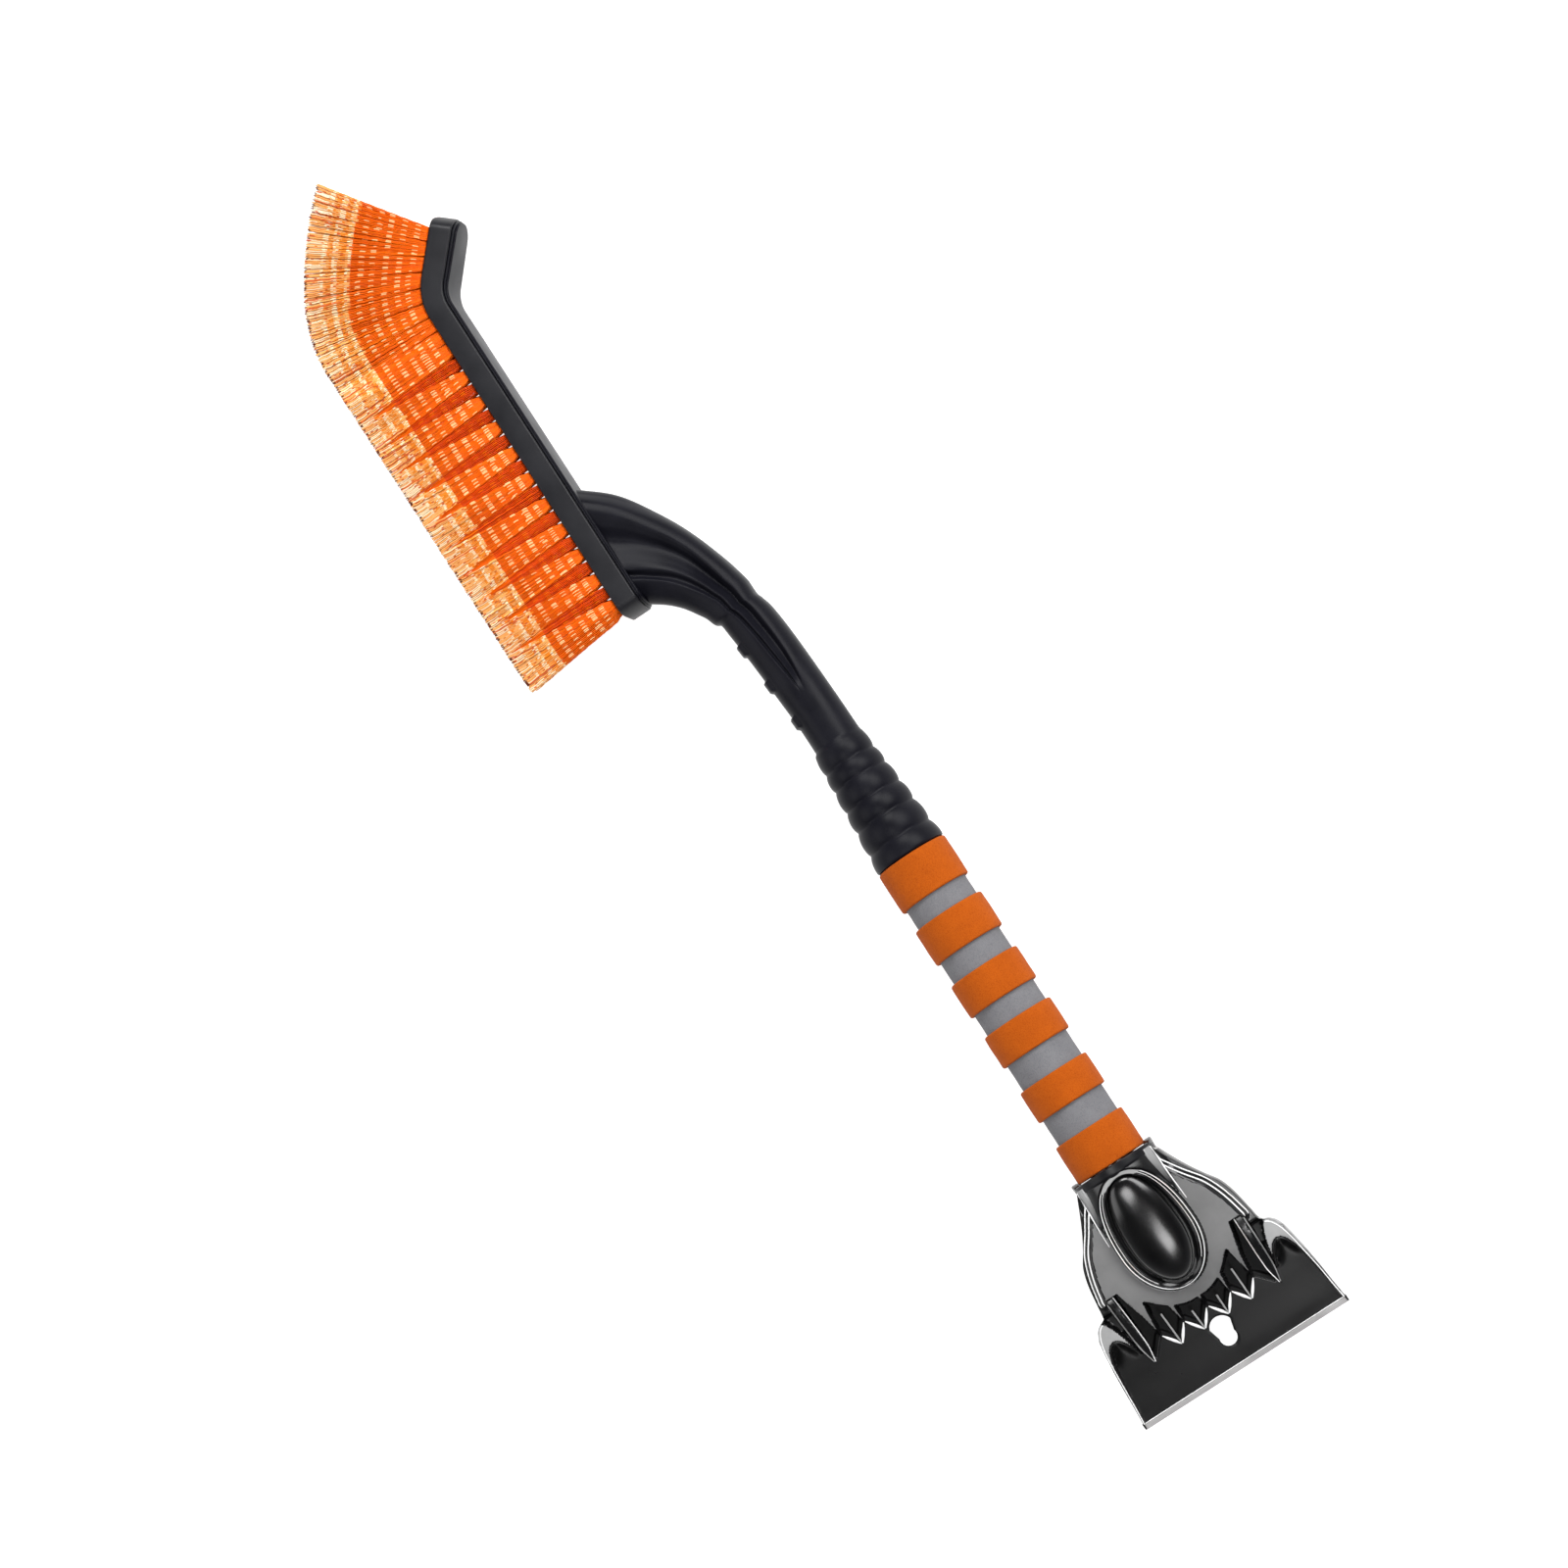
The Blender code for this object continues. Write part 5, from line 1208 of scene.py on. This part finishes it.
def screw_look(name, foot, head, head_r, head_t, shank_r, body, node_name, material=None, sunk=False):
    """Pan or sunk head with a cross recess and a threaded shank."""
    foot, head = np.array(foot, float), np.array(head, float)
    axis = (head - foot) / np.linalg.norm(head - foot)
    reach = np.linalg.norm(head - foot)
    other = np.array((0, 0, 1.0)) if abs(axis[2]) < 0.9 else np.array((1.0, 0, 0))
    side = np.cross(axis, other)
    side /= np.linalg.norm(side)
    up = np.cross(axis, side)
    steps = 48
    a = np.arange(steps) * math.tau / steps
    rings = []
    for x in np.arange(0.0, reach - head_t, 0.16):
        r = shank_r - 0.22 + 0.22 * (0.5 + 0.5 * np.cos(math.tau * x / 0.8 - a))
        r = r * min(1.0, 0.45 + x / 1.6)
        rings.append((x, r))
    if sunk:
        rings += [(reach - head_t, np.full(steps, shank_r)), (reach - 0.15, np.full(steps, head_r - 0.02)), (reach - 0.05, np.full(steps, head_r)), (reach, np.full(steps, head_r - 0.08))]
    else:
        rings += [(reach - head_t, np.full(steps, shank_r)), (reach - head_t, np.full(steps, head_r - 0.1)), (reach - head_t + 0.15, np.full(steps, head_r))]
        for t in np.linspace(0, 1, 7):
            rings.append((reach - head_t * 0.45 * (1 - math.sin(t * math.pi / 2)) - 0.02, np.full(steps, head_r * (0.98 - 0.16 * t))))
    cross = 0.5 + 0.5 * np.cos(4 * a)
    reach_in = head_r * (0.26 + 0.42 * cross**3)
    rings.append((reach, reach_in * 1.06))
    rings.append((reach - 0.12, reach_in))
    rings.append((reach - head_t * 0.8, reach_in * 0.55))
    pts = []
    for x, r in rings:
        r = np.broadcast_to(r, steps)
        pts.append(foot + axis * x + np.outer(r * np.cos(a), side) + np.outer(r * np.sin(a), up))
    made = skin(name, pts, [material or STEEL], sharp=40)
    return put(made, body, [node_name])


screw_look("washer_screw_look", (223.0, 0, 0), (207.1, 0, 0), 3.4, 1.6, 1.5, "brush", "washer_screw")
screw_look("spigot_screw_look", (295.0, 0, -8.4), (295.0, 0, -16.4), 3.2, 1.5, 1.6, "brush", "spigot_screw")
for index, x in enumerate((524.0, 560.0, 596.0), 1):
    screw_look(f"block_screw_look_{index}", (x, SEAM_Y + 7.0, 0), (x, BACK_Y + 0.05, 0), 3.2, 1.45, 1.5, "brush", f"block_screw_{index}", BLACK_STEEL, True)

for name, material, slot in (
    ("shank_pin_1", STEEL, "screw_steel"), ("shank_pin_2", STEEL, "screw_steel"),
    ("coupling_spigot", SPIGOT, "spigot_black"), ("lock_collar", NYLON, "natural_nylon"),
):
    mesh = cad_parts[name].data
    mesh.materials.clear()
    mesh.materials.append(material)

# ================================================================ floor, light and camera
floor_mesh = bpy.data.meshes.new("floor")
reach = 6.0
floor_mesh.from_pydata([(-reach, -reach, -0.0006), (reach, -reach, -0.0006), (reach, reach, -0.0006), (-reach, reach, -0.0006)], [], [(0, 1, 2, 3)])
floor = bpy.data.objects.new("floor", floor_mesh)
bpy.context.scene.collection.objects.link(floor)
paper, nt, shader = new_material("paper")
tone = noise(nt, 3.0, 2.0)
nt.links.new(ramp(nt, tone.outputs["Fac"], (0.36, 0.36, 0.36), (0.39, 0.39, 0.39)).outputs["Color"], shader.inputs["Base Color"])
shader.inputs["Roughness"].default_value = 0.9
shader.inputs["Specular IOR Level"].default_value = 0.1
shader.inputs["Emission Color"].default_value = (1.0, 1.0, 1.0, 1.0)
shader.inputs["Emission Strength"].default_value = 0.88
floor_mesh.materials.append(paper)

world = bpy.data.worlds.new("studio")
bpy.context.scene.world = world
world.use_nodes = True
wt = world.node_tree
coord = wt.nodes.new("ShaderNodeTexCoord")
split = wt.nodes.new("ShaderNodeSeparateXYZ")
wt.links.new(coord.outputs["Generated"], split.inputs["Vector"])
sky = wt.nodes.new("ShaderNodeValToRGB")
sky.color_ramp.elements[0].position, sky.color_ramp.elements[0].color = 0.06, (0.7, 0.7, 0.7, 1.0)
sky.color_ramp.elements[1].position, sky.color_ramp.elements[1].color = 0.66, (0.03, 0.03, 0.032, 1.0)
middle_tone = sky.color_ramp.elements.new(0.30)
middle_tone.color = (0.26, 0.26, 0.27, 1.0)
wt.links.new(split.outputs["Z"], sky.inputs["Fac"])
wt.links.new(sky.outputs["Color"], wt.nodes["Background"].inputs["Color"])
wt.nodes["Background"].inputs["Strength"].default_value = 1.0


def softbox(name, at, target, width, height, power):
    data = bpy.data.lights.new(name, "AREA")
    data.shape = "RECTANGLE"
    data.size, data.size_y = width, height
    data.energy = power
    made = bpy.data.objects.new(name, data)
    made.location = Vector(at)
    made.rotation_euler = (Vector(target) - Vector(at)).to_track_quat("-Z", "Y").to_euler()
    bpy.context.scene.collection.objects.link(made)
    return made


softbox("key", (0.45, -1.35, 1.5), (0.1, 0, 0), 1.4, 1.1, 41.0)
softbox("fill", (0.2, 1.5, 1.3), (0, 0, 0), 1.5, 1.2, 13.0)
softbox("rim", (1.305, -0.45, 1.453), (0.15, 0, 0), 0.8, 0.8, 26.0)
softbox("front", (-1.2, -0.2, 1.6), (-0.3, 0, 0), 0.5, 0.45, 8.0)
softbox("top", (-0.326, 0.17, 2.13), (-0.25, 0, 0), 0.5, 0.5, 8.5)

camera_data = bpy.data.cameras.new("camera")
camera = bpy.data.objects.new("camera", camera_data)
bpy.context.scene.collection.objects.link(camera)
eye = np.array((100.0, -180.47, 1930.0))
target = np.array((338.9, 31.13, 0.0))
f = (target - eye) / np.linalg.norm(target - eye)
up = np.array((0.8386, -0.5448, 0.0))
up = up - (up @ f) * f
up /= np.linalg.norm(up)
right = np.cross(f, up)
roll = -0.002
right, up = math.cos(roll) * right + math.sin(roll) * up, -math.sin(roll) * right + math.cos(roll) * up
turn = Matrix((right, up, -f)).transposed()
camera.matrix_world = Matrix.Translation(row(eye)[0]) @ turn.to_4x4()
camera_data.sensor_width = 36.0
camera_data.lens = 36.0 * 4359.7 / 1600.0
camera_data.clip_start, camera_data.clip_end = 0.05, 50.0
bpy.context.scene.camera = camera
bpy.context.scene.view_settings.view_transform = "Standard"

bpy.context.view_layer.update()
